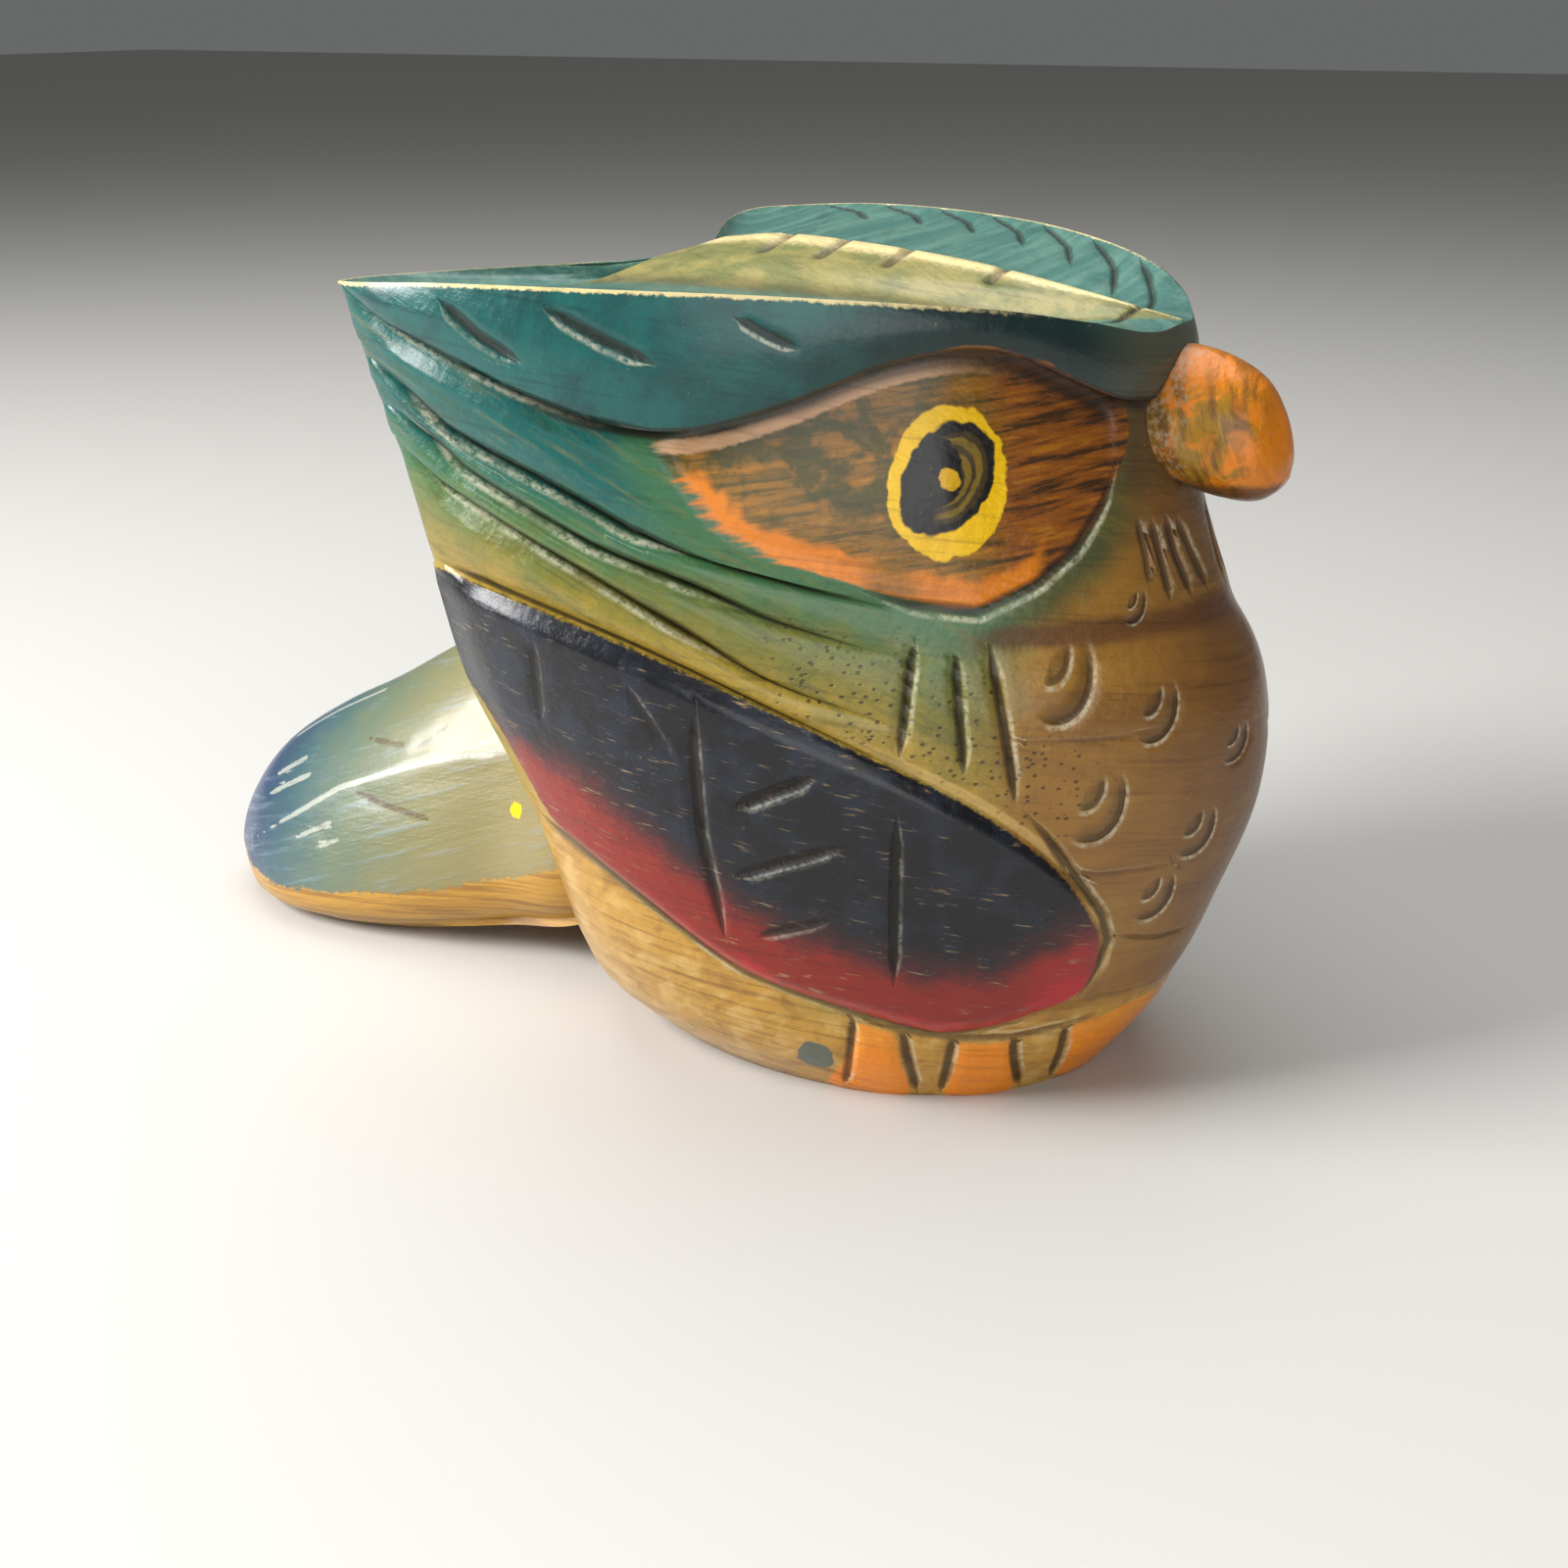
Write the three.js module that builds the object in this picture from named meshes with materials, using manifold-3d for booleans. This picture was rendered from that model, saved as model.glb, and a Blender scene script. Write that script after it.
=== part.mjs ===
// Wooden owl figurine, carved from one block, in millimetres with +Z up.
// The beak points to -Y, the owl's right side is at -X, and the origin is
// under the body, in the middle of the flat base that it rests on.

import * as THREE from 'three';
import { mergeVertices } from 'three/addons/utils/BufferGeometryUtils.js';
import Module from 'manifold-3d';

// Driving dimensions

const RIM_HEIGHT = 86;
const NAPE_HEIGHT = 84;
const VALLEY_DEPTH = 2.2;
const BROW_LEDGE = 2.2;
const BROW_SWELL = 0.7;
const LOCK_DEPTH = 1.5;
const WING_RISE = 1.3;
const WING_EDGE = 2.2;
const NECK_DEPTH = 0.9;
const CORNER_RELIEF = 0.2;
const CUT_WIDTH = 1.8;
const CUT_DEPTH = 1.2;
const CUT_RINGS = 5;
const OVERCUT = 1.3;

// The wings, locks and brows are drawn on a plane that is turned from the
// owl's own axis. A place on it is [along, height]: along runs from the ear
// tip to the breast, the same on both sides.

const DRAWING_TURN = THREE.MathUtils.degToRad(28.5);

// Counts of the mesh

const SIDE_COLUMNS = 34;
const BACK_COLUMNS = 4;
const CAP_ROWS = 4;
const CREST_BACK = -23;
const CREST_FRONT = 28.5;

// Plan sections of the body by height. Lengths along the owl's axis are
// ahead of the origin, widths are from the axis to one side.
// height, front, breast width, flank ahead, flank width, corner ahead,
// corner width, back ahead, back width

const SECTIONS = [
  [0, 24, 17, 2, 28, -20.6, 17.1, -31, 8],
  [6, 28.5, 19, -4, 36, -26.4, 21, -36, 9],
  [13, 32.5, 20, -10, 41, -28, 24.5, -39, 9],
  [20, 35.3, 21, -13, 44, -28.2, 27.5, -42, 9],
  [33, 39.4, 20, -8, 48, -29.6, 32, -46, 10],
  [45, 39, 19, -4, 50, -33, 35.8, -45, 10],
  [57, 33.2, 19, -6, 50, -34.5, 38.6, -41, 10],
  [65, 30.5, 20, -8, 51, -35.6, 40, -38, 10],
  [75, 29, 20, -12, 52, -38.3, 41.4, -33, 10],
  [86, 28.5, 21, -14, 52, -41.2, 42.6, -27, 9],
];

// From the corner the back starts inwards along these steps [ahead, width]

const BACK_STEPS = [
  [0, -6, -3.5],
  [13, -7, -8],
  [33, -6, -11],
  [57, -5, -12],
  [86, -5, -8],
];

// Heights of the rim of the head and of its crest, by the place ahead

const RIM = [
  [-41, 85.2],
  [-27.5, 86],
  [-12.5, 86],
  [2.6, 85.4],
  [17.4, 83.8],
  [24, 82],
  [27.7, 80.4],
  [29, 81],
];
const CREST = [
  [-23, 86.3],
  [-15.8, 87],
  [-4.3, 86.4],
  [6.8, 85.2],
  [17.5, 83.3],
  [28.5, 81],
];

// Carved lines on the drawing plane, each a list of [along, height]

const BROW_LINE = [
  [-56, 85],
  [-50.8, 81.3],
  [-45.9, 79.3],
  [-39.3, 76.4],
  [-31.9, 74],
  [-22.8, 73.4],
  [-13.9, 75.7],
  [-5, 79],
  [2.7, 80.2],
  [8.7, 79],
  [13.7, 76.7],
  [18.8, 74.5],
  [26, 74],
];
const LOCK_LINES = [
  [[-51, 69], [-47, 65.9], [-34.4, 59.7], [-25, 54.7], [-15.8, 49.8], [-4.6, 46], [12, 40], [30, 38]],
  [[-52.5, 73.5], [-44.8, 68.2], [-32.3, 61.9], [-23.1, 58.6], [-13.9, 55.1], [10, 49], [30, 46.5]],
  [[-54, 78], [-46.5, 71.9], [-35.9, 67.3], [-28.5, 63.6], [-19.4, 60.7], [-2, 56.4], [16, 54], [30, 53]],
];
const WING_TOP = [
  [-49, 57.5],
  [-40.6, 55.8],
  [-28.9, 52.4],
  [-17.6, 47.9],
  [-4.6, 41.9],
  [5, 36.6],
  [10, 33.2],
  [18, 26],
  [36, 22],
];
const WING_BOTTOM = [
  [-45, 30],
  [-37.3, 29.5],
  [-30, 25.2],
  [-17.9, 16.5],
  [-5.8, 12.2],
  [2.3, 9.8],
  [10.4, 11.3],
  [20, 12],
  [36, 12],
];
const WING_END = 18.5;
const NECK_LINE = 52;

// Rows of the mesh between one carved line and the next, from the base up

const BAND_ROWS = [7, 10, 4, 3, 3, 7, 4];

// Beak sections: top ahead, top height, bottom ahead, bottom height, half width

const BEAK = [
  [22, 78, 22, 66.5, 5],
  [28, 78.8, 28.5, 65.4, 6.2],
  [33, 78.1, 31.5, 64.6, 6.3],
  [37.1, 76, 34, 64.1, 5.8],
  [39.3, 72.8, 36.3, 63.9, 4.8],
  [40.4, 69.2, 38, 64.2, 3.2],
  [40.3, 66.6, 39.2, 65, 1.4],
];

// Tail sections: ahead, centre to the right, foot half width, foot height,
// edge half width, edge height, ridge height

const TAIL = [
  [-94.6, 1, 1.2, 5.6, 2.6, 7.4, 10],
  [-93.3, 0.8, 3, 3.2, 6, 6.8, 13.2],
  [-90.5, 0.5, 5.5, 1.2, 9.4, 6, 17.2],
  [-86.5, 0, 8.5, 0.1, 13, 5.2, 20.8],
  [-80, -1, 11.5, 0, 16.8, 4.8, 25],
  [-72, -1.7, 12.8, 0, 18.2, 5.8, 29.2],
  [-64, -2.5, 13.5, 0.8, 18.4, 7, 34],
  [-56, -3.2, 14, 2.4, 17.8, 8.6, 38.5],
  [-48, -4, 14, 4, 17, 11, 42.5],
  [-38, -4, 14, 6.2, 17, 14.5, 45],
  [-26, -2, 7, 12, 9, 20, 42],
];
const TAIL_ROWS = 20;
const TAIL_DOME = 1.25;

// Long chisel cuts, the same on both sides, with their ends on the drawing plane

const LONG_CUTS = [
  [[-22, 49], [-21.8, 33]],
  [[-21.8, 33], [-19.2, 19.5]],
  [[-3.1, 38], [-2.7, 15.6]],
  [[-29, 49], [-24.5, 41.5]],
  [[-37.7, 52.5], [-37.2, 43]],
  [[-18.5, 37], [-10.8, 40.5]],
  [[-18.5, 29], [-8, 33.2]],
  [[-45.4, 84], [-37.7, 79.2]],
  [[-35.6, 84], [-25.4, 79.4]],
  [[-18.7, 83.6], [-12.1, 80.7]],
  [[-1.5, 54], [-2.9, 42]],
  [[2.3, 53], [3.5, 40]],
  [[5.5, 53.5], [8.7, 36.5]],
];

// A smooth curve through rows of numbers, read at one value of column 0

function follow(rows, at, column = 1) {
  const last = rows.length - 1;
  if (at <= rows[0][0]) return rows[0][column];
  if (at >= rows[last][0]) return rows[last][column];
  const slope = (index) => {
    const before = rows[Math.max(index - 1, 0)];
    const after = rows[Math.min(index + 1, last)];
    return (after[column] - before[column]) / (after[0] - before[0]);
  };
  const index = rows.findIndex((row) => row[0] > at) - 1;
  const width = rows[index + 1][0] - rows[index][0];
  const t = (at - rows[index][0]) / width;
  const u = 1 - t;
  const start = rows[index][column] * (1 + 2 * t) * u * u + slope(index) * width * t * u * u;
  const end = rows[index + 1][column] * t * t * (3 - 2 * t) - slope(index + 1) * width * t * t * u;
  return start + end;
}

function fade(value, from, to) {
  const t = THREE.MathUtils.clamp((value - from) / (to - from), 0, 1);
  return t * t * (3 - 2 * t);
}

function bezier(points, t) {
  const u = 1 - t;
  const weights = [u * u * u, 3 * u * u * t, 3 * u * t * t, t * t * t];
  const mix = (axis) => weights.reduce((sum, weight, k) => sum + weight * points[k][axis], 0);
  return [mix(0), mix(1)];
}

// Plan of one side at a height, t = 0 at the middle of the breast and
// t = 1 at the corner behind the wing

function sidePlan(t, height) {
  const read = (column) => follow(SECTIONS, height, column);
  const front = read(1);
  const corner = [read(5), read(6)];
  return bezier([[front, 0], [front, read(2)], [read(3), read(4)], corner], t);
}

// Plan of the back, t = 0 at the corner and t = 1 in the middle

function backPlan(t, height) {
  const corner = [follow(SECTIONS, height, 5), follow(SECTIONS, height, 6)];
  const back = follow(SECTIONS, height, 7);
  const step = [follow(BACK_STEPS, height, 1), follow(BACK_STEPS, height, 2)];
  const leave = [corner[0] + step[0], corner[1] + step[1]];
  return bezier([corner, leave, [back, follow(SECTIONS, height, 8)], [back, 0]], t);
}

function along([ahead, width]) {
  return ahead * Math.cos(DRAWING_TURN) - Math.abs(width) * Math.sin(DRAWING_TURN);
}

// Height at which the carved line crosses a column of the side

function crossing(line, t) {
  let height = 45;
  for (let pass = 0; pass < 30; pass += 1) {
    height += 0.5 * (follow(line, along(sidePlan(t, height))) - height);
  }
  return height;
}

function rimHeight(t) {
  return follow(RIM, sidePlan(t, RIM_HEIGHT)[0]);
}

// Relief of the side, measured outwards. A band lies between two carved
// lines, and part runs from 0 at the lower one to 1 at the upper one.

function wingRelief(place, height) {
  const below = follow(WING_TOP, place) - height;
  const above = height - follow(WING_BOTTOM, place);
  const before = WING_END - place;
  const inside = Math.min(below, above, before);
  return WING_RISE * fade(inside, -0.5, WING_EDGE);
}

function lockRelief(place, part) {
  const depth = LOCK_DEPTH * (1 - fade(place, -24, 4));
  return depth * (Math.sqrt(Math.sin(Math.PI * part)) - 1);
}

function cheekRelief(place, part) {
  const lock = lockRelief(place, part) * (1 - fade(place, -32, -22));
  const shade = fade(place, -46, -26) * (1 - fade(place, 17, 25));
  return lock - BROW_LEDGE * shade * part * part;
}

function neckRelief(place, height) {
  const across = (height - NECK_LINE) / 2.5;
  return -NECK_DEPTH * Math.exp(-across * across) * fade(place, -2, 10);
}

function sideRelief(band, part, place, height) {
  const neck = neckRelief(place, height);
  if (band <= 1) return wingRelief(place, height) + neck;
  if (band <= 4) return lockRelief(place, part) + neck;
  if (band === 5) return cheekRelief(place, part) + neck;
  return BROW_SWELL * Math.sin(Math.PI * part);
}

function sidePoint(t, height, relief) {
  const here = sidePlan(t, height);
  const next = sidePlan(t + 0.001, height);
  const ahead = next[0] - here[0];
  const width = next[1] - here[1];
  const length = Math.hypot(ahead, width);
  const out = relief * (CORNER_RELIEF + (1 - CORNER_RELIEF) * fade(t, 1, 0.92));
  const sideways = t === 0 ? 0 : out * ahead / length;
  return [here[0] + out * width / length, here[1] - sideways, height];
}

// Rows from the base to the rim, each [band, part], with the brow's lower
// edge twice: once under the ledge and once on it

function rowList() {
  const rows = [];
  BAND_ROWS.forEach((count, band) => {
    for (let k = 0; k < count; k += 1) rows.push([band, k / count]);
    if (band === 5) rows.push([band, 1]);
  });
  rows.push([BAND_ROWS.length - 1, 1]);
  return rows;
}

function bandEdges(t) {
  const locks = LOCK_LINES.map((line) => crossing(line, t));
  const rim = rimHeight(t);
  const brow = Math.min(crossing(BROW_LINE, t), rim - 0.3);
  return [0, crossing(WING_BOTTOM, t), crossing(WING_TOP, t), ...locks, brow, rim];
}

function sideColumn(t, rows) {
  const edges = bandEdges(t);
  return rows.map(([band, part]) => {
    const height = edges[band] + (edges[band + 1] - edges[band]) * part;
    const place = along(sidePlan(t, height));
    return sidePoint(t, height, sideRelief(band, part, place, height));
  });
}

function backColumn(t, corner) {
  const top = corner[corner.length - 1][2];
  const stretch = 1 + t * (NAPE_HEIGHT / top - 1);
  return corner.map(([, , height]) => {
    const plan = backPlan(t, height);
    return [plan[0], plan[1], height * stretch];
  });
}

// Head top: rows from the rim inwards to the crest on the axis

function capColumn(rim, share) {
  const ahead = CREST_FRONT + (CREST_BACK - CREST_FRONT) * share;
  const crest = [ahead, 0, follow(CREST, ahead)];
  const column = [];
  for (let row = 1; row <= CAP_ROWS; row += 1) {
    const part = row / CAP_ROWS;
    const dip = VALLEY_DEPTH * Math.sin(Math.PI * part) * fade(rim[1], 3, 22);
    const mix = (axis) => rim[axis] + (crest[axis] - rim[axis]) * part;
    column.push([mix(0), mix(1), mix(2) - dip]);
  }
  return column;
}

function halfBody() {
  const rows = rowList();
  const columns = [];
  for (let c = 0; c <= SIDE_COLUMNS; c += 1) {
    const t = c / SIDE_COLUMNS;
    const side = sideColumn(t, rows);
    columns.push([[0, 0, 0], ...side, ...capColumn(side[side.length - 1], t)]);
  }
  const corner = columns[SIDE_COLUMNS].slice(1, rows.length + 1);
  for (let c = 1; c <= BACK_COLUMNS; c += 1) {
    const back = backColumn(c / BACK_COLUMNS, corner);
    columns.push([[0, 0, 0], ...back, ...capColumn(back[back.length - 1], 1)]);
  }
  return columns;
}

// Meshes

function framePoint([ahead, width, height], side) {
  return [-width * side, -ahead, height];
}

function patchFrom(columns, side) {
  const positions = [];
  for (let c = 0; c + 1 < columns.length; c += 1) {
    for (let r = 0; r + 1 < columns[c].length; r += 1) {
      const a = framePoint(columns[c][r], side);
      const b = framePoint(columns[c + 1][r], side);
      const d = framePoint(columns[c + 1][r + 1], side);
      const e = framePoint(columns[c][r + 1], side);
      const faces = side > 0 ? [a, e, d, a, d, b] : [a, d, e, a, b, d];
      positions.push(...faces.flat());
    }
  }
  return positions;
}

function geometryFrom(positions) {
  const geometry = new THREE.BufferGeometry();
  geometry.setAttribute('position', new THREE.Float32BufferAttribute(positions, 3));
  const merged = mergeVertices(geometry, 1e-4);
  const index = merged.index.array;
  const kept = [];
  for (let k = 0; k < index.length; k += 3) {
    const [a, b, c] = [index[k], index[k + 1], index[k + 2]];
    if (a !== b && b !== c && c !== a) kept.push(a, b, c);
  }
  merged.setIndex(kept);
  return merged;
}

function bodyGeometry() {
  const columns = halfBody();
  return geometryFrom([...patchFrom(columns, 1), ...patchFrom(columns, -1)]);
}

// A closed skin over rings of equal count, with a fan over each end

function loftGeometry(rings) {
  const positions = [];
  const middle = (ring) => [0, 1, 2].map((axis) => (
    ring.reduce((sum, point) => sum + point[axis], 0) / ring.length
  ));
  const count = rings[0].length;
  for (let k = 0; k < count; k += 1) {
    const next = (k + 1) % count;
    for (let r = 0; r + 1 < rings.length; r += 1) {
      const [low, high] = [rings[r], rings[r + 1]];
      positions.push(...low[k], ...low[next], ...high[next], ...low[k], ...high[next], ...high[k]);
    }
    const [first, last] = [rings[0], rings[rings.length - 1]];
    positions.push(...first[next], ...first[k], ...middle(first));
    positions.push(...last[k], ...last[next], ...middle(last));
  }
  return geometryFrom(positions);
}

function beakGeometry() {
  const around = 16;
  const rings = BEAK.map(([topAhead, top, bottomAhead, bottom, half]) => {
    const ring = [];
    for (let k = 0; k < around; k += 1) {
      const turn = (k / around) * 2 * Math.PI;
      const rise = 0.5 + 0.5 * Math.cos(turn);
      const width = half * Math.sin(turn) * (1 - 0.18 * Math.cos(turn));
      const ahead = bottomAhead + (topAhead - bottomAhead) * rise;
      ring.push(framePoint([ahead, width, bottom + (top - bottom) * rise], 1));
    }
    return ring;
  });
  return loftGeometry(rings);
}

function tailRing(ahead) {
  const [centre, foot, lift, edge, edgeHeight, ridge] = [1, 2, 3, 4, 5, 6]
    .map((column) => follow(TAIL, ahead, column));
  const sole = Math.max(lift, 0);
  const ring = [];
  const dome = 14;
  for (let k = 0; k <= dome; k += 1) {
    const turn = (k / dome) * Math.PI;
    const reach = Math.sign(Math.cos(turn)) * Math.abs(Math.cos(turn)) ** TAIL_DOME;
    const rise = Math.max(Math.sin(turn), 0) ** TAIL_DOME;
    ring.push([ahead, centre + edge * reach, edgeHeight + (ridge - edgeHeight) * rise]);
  }
  const belly = [[-0.94, 0.45], [-0.8, 0.12], [-1, 0], [-0.4, 0], [0.4, 0], [1, 0], [0.8, 0.12], [0.94, 0.45]];
  belly.forEach(([reach, rise]) => {
    const onSole = rise === 0;
    const half = onSole ? foot : edge;
    ring.push([ahead, centre + half * reach, sole + (edgeHeight - sole) * rise]);
  });
  return ring.reverse().map((point) => framePoint(point, 1));
}

function tailGeometry() {
  const first = TAIL[0][0];
  const last = TAIL[TAIL.length - 1][0];
  const rings = [];
  for (let row = 0; row <= TAIL_ROWS; row += 1) {
    const share = (row / TAIL_ROWS) ** 1.4;
    rings.push(tailRing(first + (last - first) * share));
  }
  return loftGeometry(rings);
}

// The surface of a side at a place on the drawing plane

function bandAt(place, height) {
  const edges = [0, follow(WING_BOTTOM, place), follow(WING_TOP, place)];
  LOCK_LINES.forEach((line) => edges.push(follow(line, place)));
  edges.push(follow(BROW_LINE, place), RIM_HEIGHT);
  const band = Math.max(edges.findIndex((edge) => edge > height) - 1, 0);
  return [band, (height - edges[band]) / (edges[band + 1] - edges[band])];
}

function surfaceAt(place, height) {
  let [front, corner] = [0, 1];
  for (let pass = 0; pass < 24; pass += 1) {
    const middle = (front + corner) / 2;
    if (along(sidePlan(middle, height)) > place) front = middle;
    else corner = middle;
  }
  const [band, part] = bandAt(place, height);
  return sidePoint(front, height, sideRelief(band, part, place, height));
}

// A wedge that follows the surface between two places, deepest in its middle

function chiselGeometry([from, to], side) {
  const point = (share, across) => {
    const run = [to[0] - from[0], to[1] - from[1]];
    const length = Math.hypot(...run);
    const spot = [0, 1].map((axis) => from[axis] + run[axis] * share);
    spot[0] -= across * run[1] / length;
    spot[1] += across * run[0] / length;
    return new THREE.Vector3(...framePoint(surfaceAt(...spot), side));
  };
  const rings = [];
  for (let k = 0; k < CUT_RINGS; k += 1) {
    const share = k / (CUT_RINGS - 1);
    const swell = 0.25 + 0.75 * Math.sin(Math.PI * share);
    const half = 0.5 * CUT_WIDTH * swell;
    const [left, right] = [point(share, half), point(share, -half)];
    const forward = point(share + 0.01, 0).sub(point(share - 0.01, 0));
    const out = new THREE.Vector3().crossVectors(right.clone().sub(left), forward).normalize();
    out.multiplyScalar(side);
    const deep = left.clone().add(right).multiplyScalar(0.5).addScaledVector(out, -CUT_DEPTH * swell);
    const over = (edge) => edge.clone().addScaledVector(edge.clone().sub(deep), OVERCUT);
    const ring = [over(left), deep, over(right)].map((corner) => corner.toArray());
    rings.push(side > 0 ? ring.reverse() : ring);
  }
  return loftGeometry(rings);
}

// Solids

const wasm = await Module();
wasm.setup();

function solidFrom(geometry) {
  return new wasm.Manifold(new wasm.Mesh({
    numProp: 3,
    vertProperties: new Float32Array(geometry.attributes.position.array),
    triVerts: new Uint32Array(geometry.index.array),
  }));
}

function geometryOf(solid) {
  const mesh = solid.getMesh();
  const geometry = new THREE.BufferGeometry();
  geometry.setAttribute('position', new THREE.BufferAttribute(mesh.vertProperties, 3));
  geometry.setIndex(new THREE.BufferAttribute(mesh.triVerts, 1));
  return geometry;
}

function owlGeometry() {
  let carved = solidFrom(bodyGeometry());
  [1, -1].forEach((side) => {
    LONG_CUTS.forEach((cut) => {
      carved = carved.subtract(solidFrom(chiselGeometry(cut, side)));
    });
  });
  carved = carved.add(solidFrom(tailGeometry())).add(solidFrom(beakGeometry()));
  return geometryOf(carved);
}

const group = new THREE.Group();
const paintedWood = new THREE.MeshStandardMaterial({
  color: 0x8a6a35,
  roughness: 0.38,
  metalness: 0,
});
const owl = new THREE.Mesh(owlGeometry(), paintedWood);
owl.name = 'owl';
group.add(owl);

export default group;
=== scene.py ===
import math
from types import SimpleNamespace

import bpy
import numpy as np
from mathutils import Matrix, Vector
from mathutils.kdtree import KDTree


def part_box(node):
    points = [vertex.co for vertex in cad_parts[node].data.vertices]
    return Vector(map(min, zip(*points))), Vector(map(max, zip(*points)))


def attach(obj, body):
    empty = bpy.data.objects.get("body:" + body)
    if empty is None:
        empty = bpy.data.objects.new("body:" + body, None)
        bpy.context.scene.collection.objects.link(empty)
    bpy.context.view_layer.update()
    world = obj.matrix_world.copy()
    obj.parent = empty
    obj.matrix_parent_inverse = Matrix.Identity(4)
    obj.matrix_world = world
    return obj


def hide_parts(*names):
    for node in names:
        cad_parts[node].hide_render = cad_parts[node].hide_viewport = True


# Looks of the carved wooden owl. Lengths are in millimetres until a mesh is
# made. Points are [ahead, width, height]: ahead of the origin along the owl's
# axis, to its right, and up. The drawing plane has [place, height], where
# place runs from the ear tip to the breast, the same on both sides.

MM = 0.001
SMOOTH_BELOW = math.radians(50)
HAIR = 0.001 * MM
DRAWING_TURN = math.radians(28.5)

# An offset in half widths that stands for no cut nearby

FAR = 4.0

# Driving dimensions, as in the construction

RIM_HEIGHT = 86
NAPE_HEIGHT = 84
VALLEY_DEPTH = 2.2
BROW_LEDGE = 2.2
BROW_SWELL = 0.7
LOCK_DEPTH = 1.5
WING_RISE = 1.3
WING_EDGE = 2.2
WING_END = 18.5
NECK_DEPTH = 0.5
NECK_LINE = 52
CORNER_RELIEF = 0.2
CREST_BACK = -23
CREST_FRONT = 28.5

# Plan sections by height: front, breast width, flank ahead, flank width,
# corner ahead, corner width, back ahead, back width

SECTIONS = [
    [0, 24, 17, 2, 28, -20.6, 17.1, -31, 8],
    [6, 28.5, 19, -4, 36, -26.4, 21, -36, 9],
    [13, 32.5, 20, -10, 41, -28, 24.5, -39, 9],
    [20, 35.3, 21, -13, 44, -28.2, 27.5, -42, 9],
    [33, 39.4, 20, -8, 48, -29.6, 32, -46, 10],
    [45, 39, 19, -4, 50, -33, 35.8, -45, 10],
    [57, 33.2, 19, -6, 50, -34.5, 38.6, -41, 10],
    [65, 30.5, 20, -8, 51, -35.6, 40, -38, 10],
    [75, 29, 20, -12, 52, -38.3, 41.4, -33, 10],
    [86, 28.5, 21, -14, 52, -41.2, 42.6, -27, 9],
]
BACK_STEPS = [[0, -6, -3.5], [13, -7, -8], [33, -6, -11], [57, -5, -12], [86, -5, -8]]
RIM = [
    [-41, 85.2], [-27.5, 86], [-12.5, 86], [2.6, 85.4],
    [17.4, 83.8], [24, 82], [27.7, 80.4], [29, 81],
]
CREST = [[-23, 86.3], [-15.8, 87], [-4.3, 86.4], [6.8, 85.2], [17.5, 83.3], [28.5, 81]]

# Carved lines on the drawing plane

BROW_LINE = [
    [-56, 85], [-50.8, 81.3], [-45.9, 79.3], [-39.3, 76.4], [-31.9, 74],
    [-22.8, 73.4], [-13.9, 75.7], [-5, 79], [2.7, 80.2], [8.7, 79],
    [13.7, 76.7], [18.8, 74.5], [26, 74],
]
LOCK_LINES = [
    [[-51, 69], [-47, 65.9], [-34.4, 59.7], [-25, 54.7], [-15.8, 49.8], [-4.6, 46], [12, 40], [30, 38]],
    [[-52.5, 73.5], [-44.8, 68.2], [-32.3, 61.9], [-23.1, 58.6], [-13.9, 55.1], [10, 49], [30, 46.5]],
    [
        [-54, 78], [-46.5, 71.9], [-35.9, 67.3], [-28.5, 63.6],
        [-19.4, 60.7], [-2, 56.4], [16, 54], [30, 53],
    ],
]
WING_TOP = [
    [-49, 57.5], [-40.6, 55.8], [-28.9, 52.4], [-17.6, 47.9], [-4.6, 41.9],
    [5, 36.6], [10, 33.2], [18, 26], [36, 22],
]
WING_BOTTOM = [
    [-45, 30], [-37.3, 29.5], [-30, 25.2], [-17.9, 16.5], [-5.8, 12.2],
    [2.3, 9.8], [10.4, 11.3], [20, 12], [36, 12],
]

# Closed outlines of the paint, on the drawing plane

WING_OUTLINE = [
    [-49.5, 57], [-40.6, 55.8], [-28.9, 52.4], [-17.6, 47.9], [-4.6, 41.9], [5, 36.6],
    [12.6, 30.2], [16.6, 24.4], [18.3, 19.8], [17.4, 15.5], [10.4, 11.3], [2.3, 9.8],
    [-5.8, 12.2], [-17.9, 16.5], [-24, 20.5], [-30, 25.2], [-37.3, 31.1], [-42, 39],
    [-47, 46], [-51, 52],
]
PATCH_OUTLINE = [
    [-25.8, 71.4], [-22.8, 73.6], [-13.9, 76], [-5, 79.3], [2.7, 80.6], [8.7, 79.4],
    [13.7, 77], [18.6, 74], [19.2, 70], [17, 65], [14.1, 61.3], [10.2, 58.6],
    [4.6, 56.4], [-2, 57.4], [-9.3, 59.8], [-18.4, 62.6], [-23, 67],
]
EYE_CENTRE = [1.4, 68]
EYE_SIZE = [5.7, 7.0]

SOCKET_DEPTH = 0.35

# How far the eyeball swells, and its reach in eye sizes

EYE_BULGE = [0.9, 1.1]
TOE_RISE = 0.35

# Chisel strokes: points on the drawing plane, width and depth

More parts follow.
